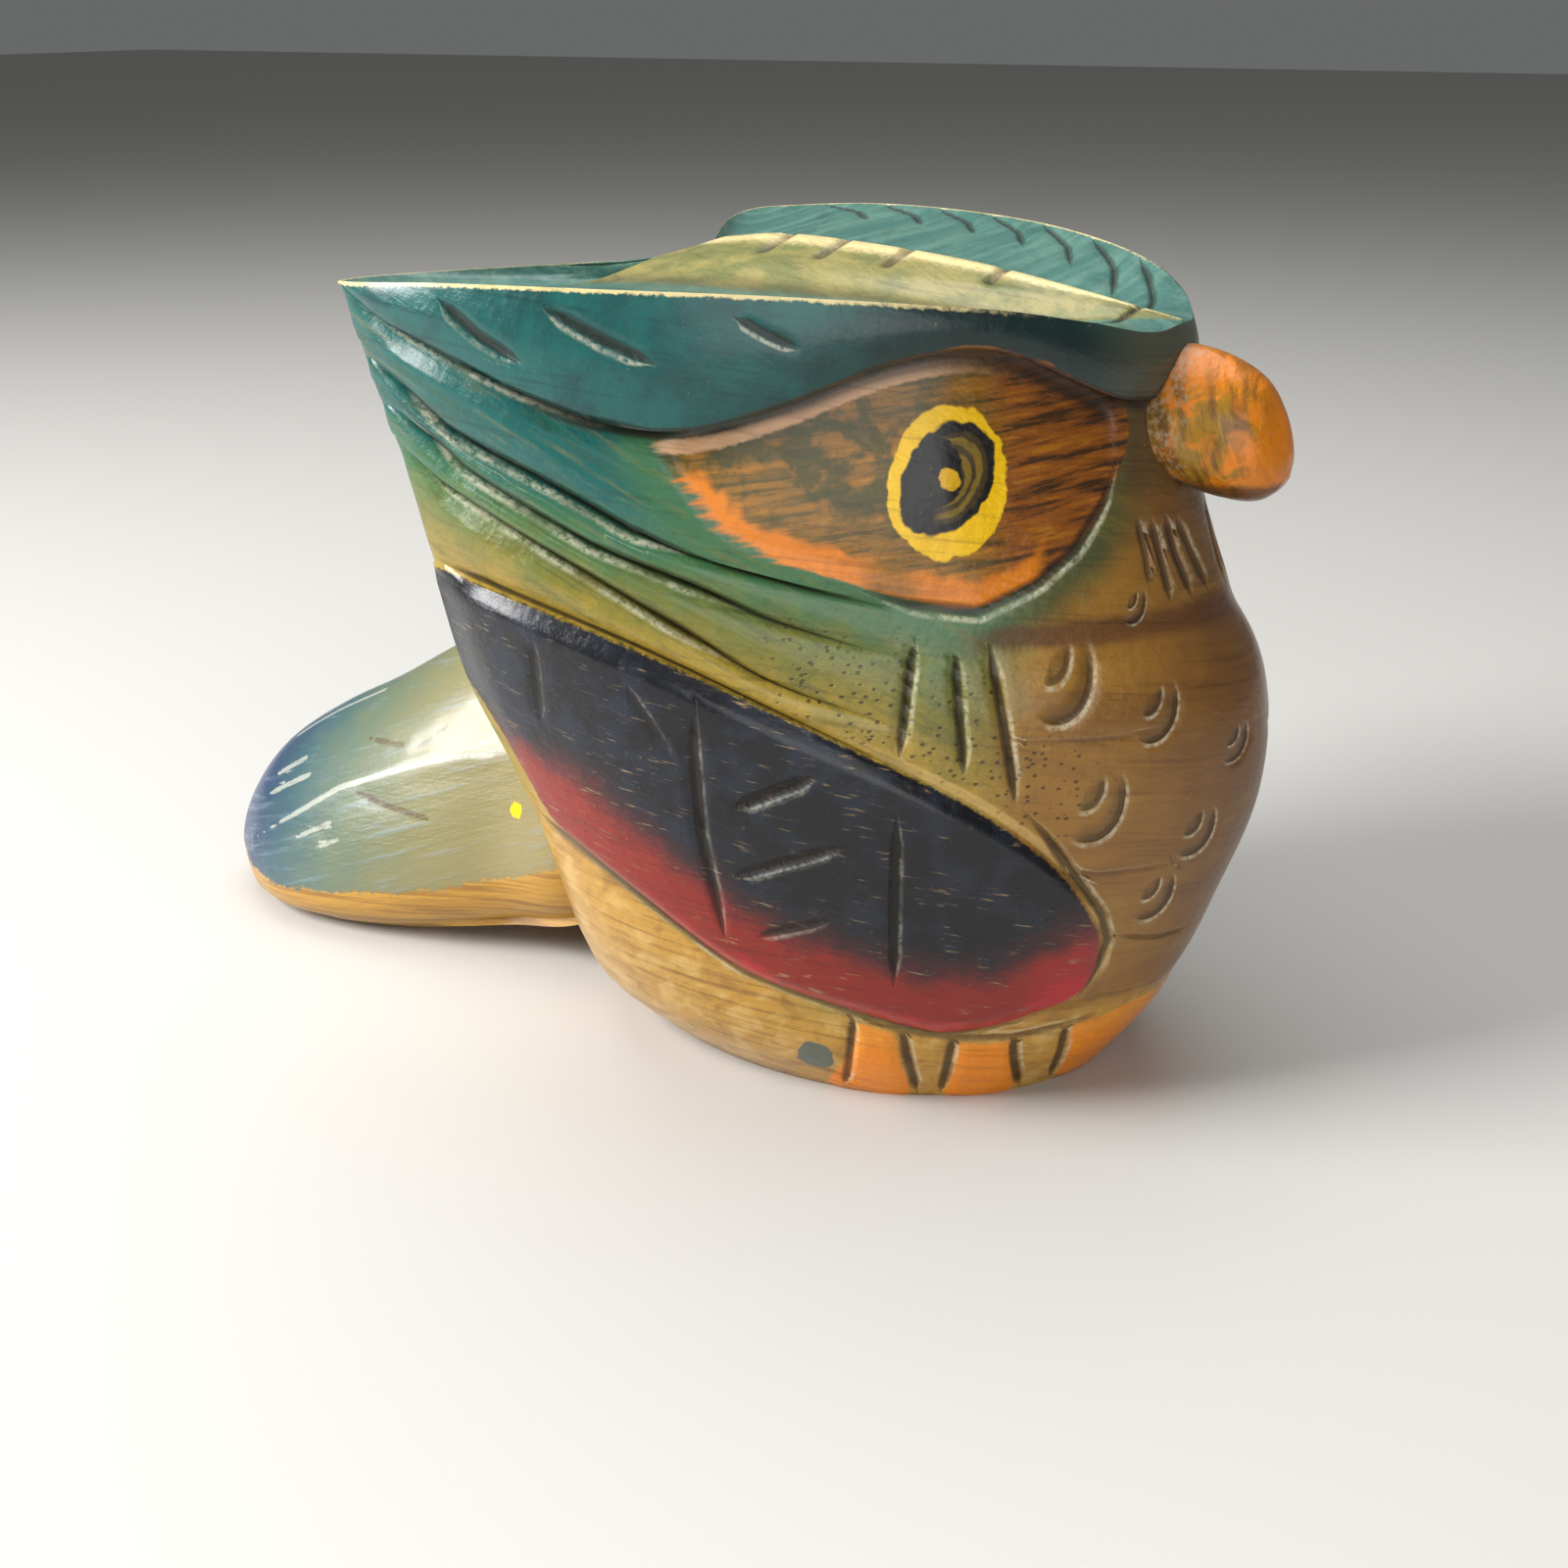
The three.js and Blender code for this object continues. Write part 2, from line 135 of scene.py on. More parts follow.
LONG_CUTS = [
    [[[-22, 49.5], [-22.3, 43], [-21.6, 33.2], [-19.2, 19.5]], 1.2, 0.9],
    [[[-3.1, 38.2], [-3.0, 27], [-2.7, 15.4]], 1.2, 0.9],
    [[[-29, 49.4], [-24.3, 41.7]], 1.0, 0.5],
    [[[-37.7, 53], [-37.2, 42.5]], 1.0, 0.5],
    [[[-10.4, 40.9], [-19, 36.7]], 1.8, 1.1],
    [[[-7.4, 33.5], [-19.2, 28.7]], 1.7, 1.0],
    [[[-8.6, 24.7], [-16.8, 21.7]], 1.4, 0.7],
    [[[-37.2, 78.9], [-41.5, 81.3], [-45.8, 84.8]], 1.5, 0.8],
    [[[-24.8, 79.2], [-30.4, 81.6], [-36, 84.6]], 1.5, 0.8],
    [[[-12.1, 80.7], [-15.5, 82.2], [-18.7, 84.0]], 1.2, 0.6],
    [[[-1.5, 54.4], [-2.3, 47.8], [-2.9, 41.9]], 1.3, 0.9],
    [[[2.3, 53.3], [2.8, 46.7], [3.5, 39.8]], 1.3, 0.9],
    [[[5.5, 53.9], [7.1, 45.6], [8.7, 36.5]], 1.3, 0.9],
]

# Beak and tail sections, as in the construction

BEAK = [
    [22, 78, 22, 66.5, 5], [28, 78.8, 28.5, 65.4, 6.2], [33, 78.1, 31.5, 64.6, 6.3],
    [37.1, 76, 34, 64.1, 5.8], [39.3, 72.8, 36.3, 63.9, 4.8], [40.4, 69.2, 38, 64.2, 3.2],
    [40.3, 66.6, 39.2, 65, 1.4],
]
TAIL = [
    [-94.6, 1, 1.2, 5.6, 2.6, 7.4, 10],
    [-93.3, 0.8, 3, 3.2, 6, 6.8, 13.2],
    [-90.5, 0.5, 5.5, 1.2, 9.4, 6, 17.2],
    [-86.5, 0, 8.5, 0.1, 13, 5.2, 20.8],
    [-80, -1, 11.5, 0, 16.8, 4.8, 25],
    [-72, -1.7, 12.8, 0, 18.2, 5.8, 29.2],
    [-64, -2.5, 13.5, 0.8, 18.4, 7, 34],
    [-56, -3.2, 14, 2.4, 17.8, 8.6, 38.5],
    [-48, -4, 14, 4, 17, 11, 42.5],
    [-38, -4, 14, 6.2, 17, 14.5, 45],
    [-26, -2, 7, 12, 9, 20, 42],
]
TAIL_DOME = 1.25

# A cut's mesh is a wider, shallower trough, and the shader's bump adds its sharp V

CUT_SPREAD = 1.4
CUT_SHARE = 0.55
CUT_BUMP = 0.55

# Below each lock's crease the wood slopes out again

LEAN_WIDTH = 2.4
LEAN_DEPTH = 0.9

# Counts of the fine mesh

SIDE_COLUMNS = 150
BACK_COLUMNS = 50
CAP_ROWS = 34
BAND_ROWS = [18, 48, 28, 18, 16, 38, 14]


def follow(rows, at, column=1):
    """A smooth curve through rows of numbers, read at values of column 0."""
    table = np.asarray(rows, float)
    x = table[:, 0]
    y = table[:, column]
    before = np.maximum(np.arange(len(x)) - 1, 0)
    after = np.minimum(np.arange(len(x)) + 1, len(x) - 1)
    slope = (y[after] - y[before]) / (x[after] - x[before])
    at = np.clip(at, x[0], x[-1])
    k = np.clip(np.searchsorted(x, at, side="right") - 1, 0, len(x) - 2)
    width = x[k + 1] - x[k]
    t = (at - x[k]) / width
    u = 1 - t
    start = y[k] * (1 + 2 * t) * u * u + slope[k] * width * t * u * u
    return start + y[k + 1] * t * t * (3 - 2 * t) - slope[k + 1] * width * t * t * u


def fade(value, low, high):
    t = np.clip((value - low) / (high - low), 0, 1)
    return t * t * (3 - 2 * t)


def bezier(points, t):
    u = 1 - t
    weights = [u**3, 3 * u * u * t, 3 * u * t * t, t**3]
    ahead = sum(weight * point[0] for weight, point in zip(weights, points))
    width = sum(weight * point[1] for weight, point in zip(weights, points))
    return ahead, width


def side_plan(t, height):
    front, breast, flank, flank_width, corner, corner_width = (
        follow(SECTIONS, height, column) for column in range(1, 7)
    )
    return bezier([(front, 0), (front, breast), (flank, flank_width), (corner, corner_width)], t)


def back_plan(t, height):
    corner = follow(SECTIONS, height, 5)
    corner_width = follow(SECTIONS, height, 6)
    back = follow(SECTIONS, height, 7)
    leave = (
        corner + follow(BACK_STEPS, height, 1),
        corner_width + follow(BACK_STEPS, height, 2),
    )
    return bezier([(corner, corner_width), leave, (back, follow(SECTIONS, height, 8)), (back, 0)], t)


def along(ahead, width):
    return ahead * math.cos(DRAWING_TURN) - np.abs(width) * math.sin(DRAWING_TURN)


def crossing(line, t):
    """Height at which a carved line crosses each column of the side."""
    height = np.full_like(t, 45.0)
    for _ in range(30):
        height += 0.5 * (follow(line, along(*side_plan(t, height))) - height)
    return height


# Relief of the side, measured outwards


def wing_relief(place, height):
    below = follow(WING_TOP, place) - height
    above = height - follow(WING_BOTTOM, place)
    inside = np.minimum(np.minimum(below, above), WING_END - place)
    return WING_RISE * fade(inside, -0.5, WING_EDGE)


def lock_relief(place, part):
    depth = LOCK_DEPTH * (1 - fade(place, -24, 4))
    return depth * (np.sqrt(np.maximum(np.sin(np.pi * part), 0)) - 1)


def cheek_relief(place, part):
    lock = lock_relief(place, part) * (1 - fade(place, -32, -22))
    shade = fade(place, -46, -26) * (1 - fade(place, 17, 25))
    return lock - BROW_LEDGE * shade * part * part


def neck_relief(place, height):
    across = (height - NECK_LINE) / 2.5
    return -NECK_DEPTH * np.exp(-across * across) * fade(place, -2, 10)


def main_relief(band, part, place, height):
    neck = neck_relief(place, height)
    wing = wing_relief(place, height) + neck
    locks = lock_relief(place, part) + neck
    cheek = cheek_relief(place, part) + neck
    brow = BROW_SWELL * np.sin(np.pi * part)
    return np.select([band <= 1, band <= 4, band == 5], [wing, locks, cheek], brow)


def stroke_distance(points, x, y):
    """Distance to a line of points, how far along it that is, and on which side."""
    points = np.asarray(points, float)
    steps = np.hypot(*np.diff(points, axis=0).T)
    done = np.concatenate([[0], np.cumsum(steps)]) / steps.sum()
    best = np.full(np.shape(x), 1e9)
    share = np.zeros(np.shape(x))
    hand = np.ones(np.shape(x))
    for k in range(len(points) - 1):
        run = points[k + 1] - points[k]
        across, rise = x - points[k][0], y - points[k][1]
        t = np.clip((across * run[0] + rise * run[1]) / (run @ run), 0, 1)
        far = np.hypot(across - t * run[0], rise - t * run[1])
        near = far < best
        best = np.where(near, far, best)
        share = np.where(near, done[k] + t * (done[k + 1] - done[k]), share)
        hand = np.where(near, np.sign(run[0] * rise - run[1] * across), hand)
    return best, share, hand


def chisel(strokes, x, y):
    """Depth that gouge cuts take away, and the marks that the paint reads: how deep
    the nearest cut is, and the offset from its middle in half widths, signed, so
    that it stays exact between points, and plain."""
    depth = np.zeros(np.shape(x))
    deepness = np.zeros(np.shape(x))
    signed = np.full(np.shape(x), FAR)
    plain = np.full(np.shape(x), FAR)
    for points, width, deep in strokes:
        far, share, hand = stroke_distance(points, x, y)
        taper = np.clip(np.sin(np.pi * np.clip(share, 0, 1)) * 1.6, 0.12, 1)
        offset = np.minimum(far / (0.5 * width * taper), FAR)
        dip = 0.5 + 0.5 * np.cos(np.pi * np.minimum(offset / CUT_SPREAD, 1))
        depth = np.maximum(depth, deep * taper * dip * CUT_SHARE)
        near = offset < plain
        signed = np.where(near, hand * offset, signed)
        deepness = np.where(near, deep * taper, deepness)
        plain = np.minimum(plain, offset)
    return depth, {"signed": signed, "plain": plain, "deep": deepness}


def lean(lines, x, y):
    """Depth of the sloping bevel that lies below each long crease."""
    depth = np.zeros(np.shape(x))
    for points, _, _ in lines:
        far, share, hand = stroke_distance(points, x, y)
        fall = np.clip(1 - far / LEAN_WIDTH, 0, 1) * (hand > 0) * (share > 0)
        depth = np.maximum(depth, LEAN_DEPTH * fall * fade(share, 0, 0.4))
    return depth


def smooth_loop(points, steps=8):
    """A closed smooth line through the points of an outline."""
    points = np.asarray(points, float)
    before = np.roll(points, 1, axis=0)
    after = np.roll(points, -1, axis=0)
    beyond = np.roll(points, -2, axis=0)
    rows = []
    for step in range(steps):
        t = step / steps
        rows.append(0.5 * (
            2 * points + (after - before) * t
            + (2 * before - 5 * points + 4 * after - beyond) * t * t
            + (3 * points - before - 3 * after + beyond) * t**3
        ))
    return np.stack(rows, axis=1).reshape(-1, 2)


def outline_distance(points, x, y):
    """Distance inside a closed outline, negative outside it."""
    loop = smooth_loop(points)
    best = np.full(np.shape(x), 1e9)
    inside = np.zeros(np.shape(x), bool)
    for a, b in zip(loop, np.roll(loop, -1, axis=0)):
        run = b - a
        t = np.clip(((x - a[0]) * run[0] + (y - a[1]) * run[1]) / (run @ run), 0, 1)
        best = np.minimum(best, np.hypot(x - a[0] - t * run[0], y - a[1] - t * run[1]))
        crosses = (a[1] > y) != (b[1] > y)
        edge = a[0] + (y - a[1]) * run[0] / (run[1] if run[1] else 1e-9)
        inside ^= crosses & (x < edge)
    return np.where(inside, best, -best)


# Finer carving on the drawing plane

# Every line is drawn so that its pale edge, worn paint that also serves as a painted highlight, is on
# its left hand

CREASES = [
    [[[-13.9, 55.3], [-23.1, 58.8], [-32.3, 62.1], [-44.8, 68.4], [-53, 75.4]], 1.5, 0.7],
    [[[-15.8, 50], [-25, 54.9], [-34.4, 59.9], [-47, 66.1], [-52, 70.5]], 1.5, 0.7],
    [[[-19.4, 60.9], [-28.5, 63.8], [-35.9, 67.5], [-46.5, 72.1], [-54, 79]], 1.5, 0.7],
    [[[-24, 73.3], [-31.9, 74], [-39.3, 76.4], [-45.9, 79.3], [-50.8, 81.3], [-55.5, 84]], 1.4, 0.6],
    [[[19.4, 70], [17.2, 65], [14.1, 61], [10.2, 58.2], [4.6, 56], [-2, 57], [-8, 59]], 1.5, 0.8],
    [[[9, 37], [11.5, 34], [14.7, 29.2], [18.2, 23.6], [19.3, 20.1], [18.4, 16.8], [15, 13]], 1.3, 0.7],
    [
        [[15, 13], [10.4, 10.6], [2.3, 9.5], [-5.8, 11.9], [-17.9, 16.2], [-30, 24.9], [-37.3, 30.4]],
        1.0, 0.5,
    ],
]
THROAT = [
    [[[20.4, 63.6], [21.4, 59.7], [21.9, 56.3]], 1.0, 0.5],
    [[[21.9, 63.2], [23.2, 58.5], [24.3, 54.5]], 1.1, 0.6],
    [[[23.4, 63.4], [24.7, 59.1], [26.9, 54.4]], 1.1, 0.6],
    [[[24.6, 63], [26.5, 59], [28.9, 54.6]], 1.0, 0.5],
]
KNIFE_LINES = [
    [[[6.8, 43.9], [12.4, 43.4], [18.3, 43.3], [25.4, 43.9]], 0.7, 0.25],
    [[[13.1, 29.7], [17.3, 28.6], [26.7, 28.5]], 0.7, 0.25],
    [[[20, 20.6], [24.7, 19.1], [29, 18.8]], 0.8, 0.35],
]
TOE_CUTS = [
    [[[-6.7, 12.4], [-6.9, 8.3], [-7.3, 0]], 1.3, 0.8],
    [[[-1.8, 11], [-1, 6.5], [0.5, 0]], 1.3, 0.8],
    [[[3.8, 10], [3.4, 6.1], [2.8, 0]], 1.3, 0.8],
    [[[10, 9.4], [10.5, 5.3], [11.6, 0]], 1.3, 0.8],
    [[[15.8, 9.8], [15.7, 5.6], [15, 0]], 1.3, 0.8],
    [[[-6.7, 11.5], [-1.8, 10.1], [3.7, 9.1], [10, 8.7], [15.7, 9.4], [20.4, 10.4]], 1.2, 0.5],
]
TOE_PATCHES = [
    [[-9.4, 0], [-8.4, 4], [-7, 8], [-6.5, 11], [-4, 10.6], [-2, 9.8], [-1.4, 6], [-0.2, 0], [-4, -1]],
    [[3, 0], [3.6, 4.5], [4.1, 8.4], [7, 8.4], [9.8, 8.2], [10.2, 5], [11, 0], [7, -1]],
    [[15.4, 0], [15.9, 4], [16.2, 9], [20, 10], [26, 10.5], [30, 6], [28, 0], [20, -1]],
]
PAINT_BLOT = [-10.4, 5.4, 1.9]

# Breast scales: place, height and radius

SCALES = [
    [12.4, 49.8, 3.9], [22, 45.8, 2.9], [31, 41, 2], [16.2, 37, 3.8],
    [27.2, 32.3, 2.8], [23.3, 25.3, 2.9], [19.9, 55.4, 1.6],
]
SCALE_OPENS = 38
SCALE_CLOSES = -128
SCALE_SHAPE = [0.82, 1.12]
SCALE_CUT = [1.3, 0.7]

# Back scales: rows of height, first width, step and count

BACK_SCALES = [[71, 4.6, 9.2, 4], [62, 0, 9.2, 4], [53, 4.6, 9.2, 3], [44, 22, 9.2, 1]]
BACK_SCALE_RADII = [3.9, 3.9]
BACK_SCALE_ENDS = [-20, -160]
BACK_SCALE_CUT = [1.1, 0.55]

# Ear tops: the cuts run from the rim inwards and forwards

EAR_CUTS = 7
EAR_CUT_FIRST = -34
EAR_CUT_STEP = 8.2
EAR_CUT_LEAN = 11
EAR_CUT_BEND = [0.65, 4.4]
EAR_CUT_END = 9.5
EAR_CUT_SIZE = [1.5, 0.6]
CREST_EDGE = 0.62
CREST_GROOVE = 0.9
NOTCHES = [-15, -8.5, -1.2, 9.5]
NOTCH_DEPTH = 0.5
NOTCH_HALF = 0.9
NOTCH_FROM = 0.86

# Tail marks: [ahead, height], the same on both flanks

TAIL_SHAFT = [
    [-86.5, 8.6], [-85.1, 9.7], [-77.7, 14.4], [-71.9, 18.2], [-64.2, 21.4],
    [-58.1, 23.6], [-53.2, 24.9], [-42, 26.5],
]
SHAFT_WIDTH = 1.1
SHAFT_RISE = 0.5
SHAFT_RIDGE = [0.4, 0.9]
TAIL_CUTS = [
    [[[-86.6, 13.8], [-81.2, 16.9], [-76.6, 19.2]], 1.0, 0.45],
    [[[-85.8, 16.4], [-79.6, 20.2]], 1.0, 0.45],
    [[[-78, 11.2], [-70.6, 15.2]], 1.0, 0.45],
    [[[-75, 10.3], [-68.6, 13.7]], 0.9, 0.4],
]
TAIL_BARBS = [
    [[[-70.4, 18.6], [-64.5, 17.8], [-56, 17]], 1.2, 0.4],
    [[[-70, 24], [-62, 24.6]], 1.0, 0.3],
    [[[-62.2, 24], [-57, 28]], 0.9, 0.3],
]

# The seam on the tail's top: where it opens and closes, its offset and half width

TAIL_SEAM = [-89, -68, 3.2, 0.5]

# A stray drop of yellow paint on the tail's right flank: behind, height, radius

PAINT_DROP = [45.5, 20, 1]


def arc(centre, radii, opens, closes, count=11):
    """Points of an arc on the drawing plane, from one angle to another in degrees."""
    angles = [math.radians(opens + (closes - opens) * k / (count - 1)) for k in range(count)]
    return [
        [centre[0] + radii[0] * math.cos(a), centre[1] + radii[1] * math.sin(a)]
        for a in angles
    ]


def scale_cuts():
    """The outer gouge mark of each breast scale."""
    strokes = []
    for place, height, radius in SCALES:
        radii = [radius * share for share in SCALE_SHAPE]
        strokes.append([arc([place, height], radii, SCALE_OPENS, SCALE_CLOSES), *SCALE_CUT])
    return strokes


def nearest_scale(x, y):
    """Each point's place in the nearest breast scale, whose outer edge has radius 1."""
    across, up, far = (np.full(np.shape(x), FAR) for _ in range(3))
    for place, height, radius in SCALES:
        here = (x - place) / (radius * SCALE_SHAPE[0])
        above = (y - height) / (radius * SCALE_SHAPE[1])
        away = np.hypot(here, above)
        near = away < far
        across = np.where(near, here, across)
        up = np.where(near, above, up)
        far = np.minimum(far, away)
    return across, up, far


def back_cuts():
    """Rows of plain scales down the owl's back, by width and height."""
    strokes = []
    for height, first, step, count in BACK_SCALES:
        for k in range(count):
            centre = [first + k * step, height]
            strokes.append([arc(centre, BACK_SCALE_RADII, *BACK_SCALE_ENDS), *BACK_SCALE_CUT])
    return strokes


def ear_cuts():
    """Slanted cuts across the ear tops, by distance ahead and share from rim to crest."""
    share, inward = EAR_CUT_BEND
    strokes = []
    for k in range(EAR_CUTS):
        start = EAR_CUT_FIRST + k * EAR_CUT_STEP
        middle = [start + share * EAR_CUT_LEAN, inward]
        end = [start + EAR_CUT_LEAN, EAR_CUT_END]
        strokes.append([[[start, 0], middle, end], *EAR_CUT_SIZE])
    return strokes


# Body surface


def carve_side(place, height, part_relief):
    """Outward relief of the side, with every fine cut taken off it."""
    depth, marks = chisel(LONG_CUTS + CREASES + THROAT + KNIFE_LINES + TOE_CUTS, place, height)
    depth = np.maximum(depth, chisel(scale_cuts(), place, height)[0])
    depth = depth + lean(CREASES[:4], place, height)
    patch = outline_distance(PATCH_OUTLINE, place, height)
    eye = eye_distance(place, height)
    bulge, reach = EYE_BULGE
    socket = bulge * np.exp(-((eye + 1) / reach) ** 2) * (patch > 0) - SOCKET_DEPTH * fade(patch, 0, 1.2)
    toes = np.max([outline_distance(patch, place, height) for patch in TOE_PATCHES], axis=0)
    return part_relief - depth + socket + TOE_RISE * fade(toes, 0, 1.5), marks


def eye_distance(place, height):
    """Size of the eye's ellipse through each point, 0 at its centre and 1 on its edge."""
    x = (place - EYE_CENTRE[0]) / EYE_SIZE[0]
    y = (height - EYE_CENTRE[1]) / EYE_SIZE[1]
    return np.hypot(x, y)


def row_heights(t):
    """Heights of every row of the side, and the band and share within it of each."""
    rim = follow(RIM, side_plan(t, np.full_like(t, RIM_HEIGHT))[0])
    edges = [np.zeros_like(t), crossing(WING_BOTTOM, t), crossing(WING_TOP, t)]
    edges += [crossing(line, t) for line in LOCK_LINES]
    edges += [np.minimum(crossing(BROW_LINE, t), rim - 0.3), rim]
    for k in range(1, len(edges)):
        edges[k] = np.maximum(edges[k], edges[k - 1] + 0.05)
    heights = [edges[0]]
    bands = [0]
    parts = [0]
    for band, rows in enumerate(BAND_ROWS):
        for row in range(1, rows + 1):
            part = row / rows
            heights.append(edges[band] + (edges[band + 1] - edges[band]) * part)
            bands.append(band)
            parts.append(part)
        if band == 5:
            heights.append(edges[6] + 0.02)
            bands.append(6)
            parts.append(0)
    return np.array(heights), np.array(bands), np.array(parts)


def outward(plan, t, height, relief):
    """Plan points moved out along the plan's own normal."""
    here = plan(t, height)
    step = np.where(t < 0.999, 0.001, -0.001)
    there = plan(t + step, height)
    ahead = (there[0] - here[0]) * np.sign(step)
    width = (there[1] - here[1]) * np.sign(step)
    length = np.hypot(ahead, width)
    sideways = np.where(t == 0, 0, relief * ahead / length)
    return here[0] + relief * width / length, here[1] - sideways


def side_grid():
    """The side from the breast (first column) to the corner, rows from the base up."""
    t = np.linspace(0, 1, SIDE_COLUMNS + 1)
    height, band, part = row_heights(t)
    t = np.broadcast_to(t, height.shape)
    band = np.broadcast_to(band[:, None], height.shape)
    part = np.broadcast_to(part[:, None], height.shape)
    place = along(*side_plan(t, height))
    relief, marks = carve_side(place, height, main_relief(band, part, place, height))
    relief = relief * (CORNER_RELIEF + (1 - CORNER_RELIEF) * fade(-t, -1, -0.92))
    ahead, width = outward(side_plan, t, height, relief)
    return {"ahead": ahead, "width": width, "height": height, **marks}


def back_grid(side):
    """The back from the corner to the middle, its rows stretched to the nape's height."""
    t = np.linspace(0, 1, BACK_COLUMNS + 1)[1:]
    corner = side["height"][:, -1:]
    plan_height = corner + 0 * t
    height = corner * (1 + t * (NAPE_HEIGHT / corner[-1] - 1))
    t = t + 0 * height
    width = back_plan(t, plan_height)[1]
    depth, marks = chisel(back_cuts(), width, height)
    ahead, width = outward(back_plan, t, plan_height, -depth * fade(t, 0, 0.15))
    return {"ahead": ahead, "width": width, "height": height, **marks}


def cap_grid(rim, share):
    """The head's top from the rim inwards to the crest on the axis."""
    part = np.linspace(0, 1, CAP_ROWS + 1)[1:, None] ** 1.2
    crest_ahead = CREST_FRONT + (CREST_BACK - CREST_FRONT) * share
    crest_height = follow(CREST, crest_ahead)
    ahead = rim[0] + (crest_ahead - rim[0]) * part
    width = rim[1] * (1 - part)
    height = rim[2] + (crest_height - rim[2]) * part
    reach = fade(rim[1], 3, 22)
    foot = CREST_GROOVE * fade(part, 0.3, CREST_EDGE) * (1 - fade(part, CREST_EDGE, CREST_EDGE + 0.2))
    inward = part * np.hypot(rim[0] - crest_ahead, rim[1])
    depth, marks = chisel(ear_cuts(), ahead, inward)
    notch = np.zeros_like(ahead)
    for spot in NOTCHES:
        here = np.clip(1 - np.abs(ahead - spot) / NOTCH_HALF, 0, 1)
        notch = np.maximum(notch, here * (part > NOTCH_FROM))
    valley = (VALLEY_DEPTH * np.sin(np.pi * part) + foot) * reach
    height = height - valley - depth - NOTCH_DEPTH * notch
    zones = {"crest": part + 0 * ahead, "inward": inward, "notch": notch}
    return {"ahead": ahead, "width": width, "height": height, **marks, **zones}


def body_part(sign):
    """Points, faces and zone values of one half of the body."""
    side = side_grid()
    back = back_grid(side)
    rim = [np.concatenate([side[name][-1], back[name][-1]]) for name in ("ahead", "width", "height")]
    share = np.concatenate([np.linspace(0, 1, SIDE_COLUMNS + 1), np.ones(BACK_COLUMNS)])
    cap = cap_grid(rim, share)
    rows = len(side["height"])
    columns = SIDE_COLUMNS + 1 + BACK_COLUMNS
    grid = {}
    for name in ("ahead", "width", "height", "signed", "plain", "deep"):
        base = np.full((1, columns), FAR if name in ("signed", "plain") else 0)
        wall = np.concatenate([side[name], back[name]], axis=1)
        grid[name] = np.concatenate([base, wall, cap[name]])
    grid["crest"] = np.concatenate([np.zeros((rows + 1, columns)), cap["crest"]])
    grid["top"] = (grid["crest"] > 0).astype(float)
    behind = np.zeros(columns)
    behind[SIDE_COLUMNS + 1:] = 1
    grid["back"] = behind * (1 - grid["top"])
    wall_rows = np.zeros((rows + 1, columns))
    grid["notch"] = np.concatenate([wall_rows, cap["notch"]])
    grid["rim"] = np.concatenate([(rim[2] - grid["height"])[: rows + 1], cap["inward"]])
    points = np.stack([-grid["width"] * sign, -grid["ahead"], grid["height"]], axis=-1)
    return points.reshape(-1, 3), grid_faces(len(points), columns, sign < 0), grid


def grid_faces(rows, columns, turned):
    """Triangles over a grid of points, and the other way round when turned."""
    corner = (np.arange(rows - 1)[:, None] * columns + np.arange(columns - 1)).ravel()
    a, b = corner, corner + 1
    d, e = corner + columns + 1, corner + columns
    faces = np.concatenate([np.stack([a, e, d], 1), np.stack([a, d, b], 1)])
    return faces[:, ::-1] if turned else faces


def ring_faces(rows, around):
    """Triangles over closed rings, one row after another."""
    corner = np.arange(rows - 1)[:, None] * around
    here = np.arange(around)
    beside = (here + 1) % around
    a, b = (corner + here).ravel(), (corner + beside).ravel()
    d, e = (corner + around + beside).ravel(), (corner + around + here).ravel()
    return np.concatenate([np.stack([a, b, d], 1), np.stack([a, d, e], 1)])


def capped_rings(rings):
    """Points and triangles of a skin over rings, with a fan over each end."""
    rows, around = rings.shape[:2]
    points = np.concatenate([rings.reshape(-1, 3), rings[:1].mean(1), rings[-1:].mean(1)])
    here = np.arange(around)
    beside = (here + 1) % around
    first = np.full(around, rows * around)
    last = (rows - 1) * around
    fans = [np.stack([beside, here, first], 1), np.stack([last + here, last + beside, first + 1], 1)]
    return points, np.concatenate([ring_faces(rows, around), *fans])


def beak_rings():
    rows = [[k, *row] for k, row in enumerate(BEAK)]
    at = np.linspace(0, len(BEAK) - 1, 36)[:, None]
    top_ahead, top, bottom_ahead, bottom, half = (follow(rows, at, column) for column in range(1, 6))
    turn = np.linspace(0, 2 * np.pi, 44, endpoint=False)
    rise = 0.5 + 0.5 * np.cos(turn)
    width = half * np.sin(turn) * (1 - 0.18 * np.cos(turn))
    ahead = bottom_ahead + (top_ahead - bottom_ahead) * rise
    return np.stack([-width, -ahead, bottom + (top - bottom) * rise], axis=-1)


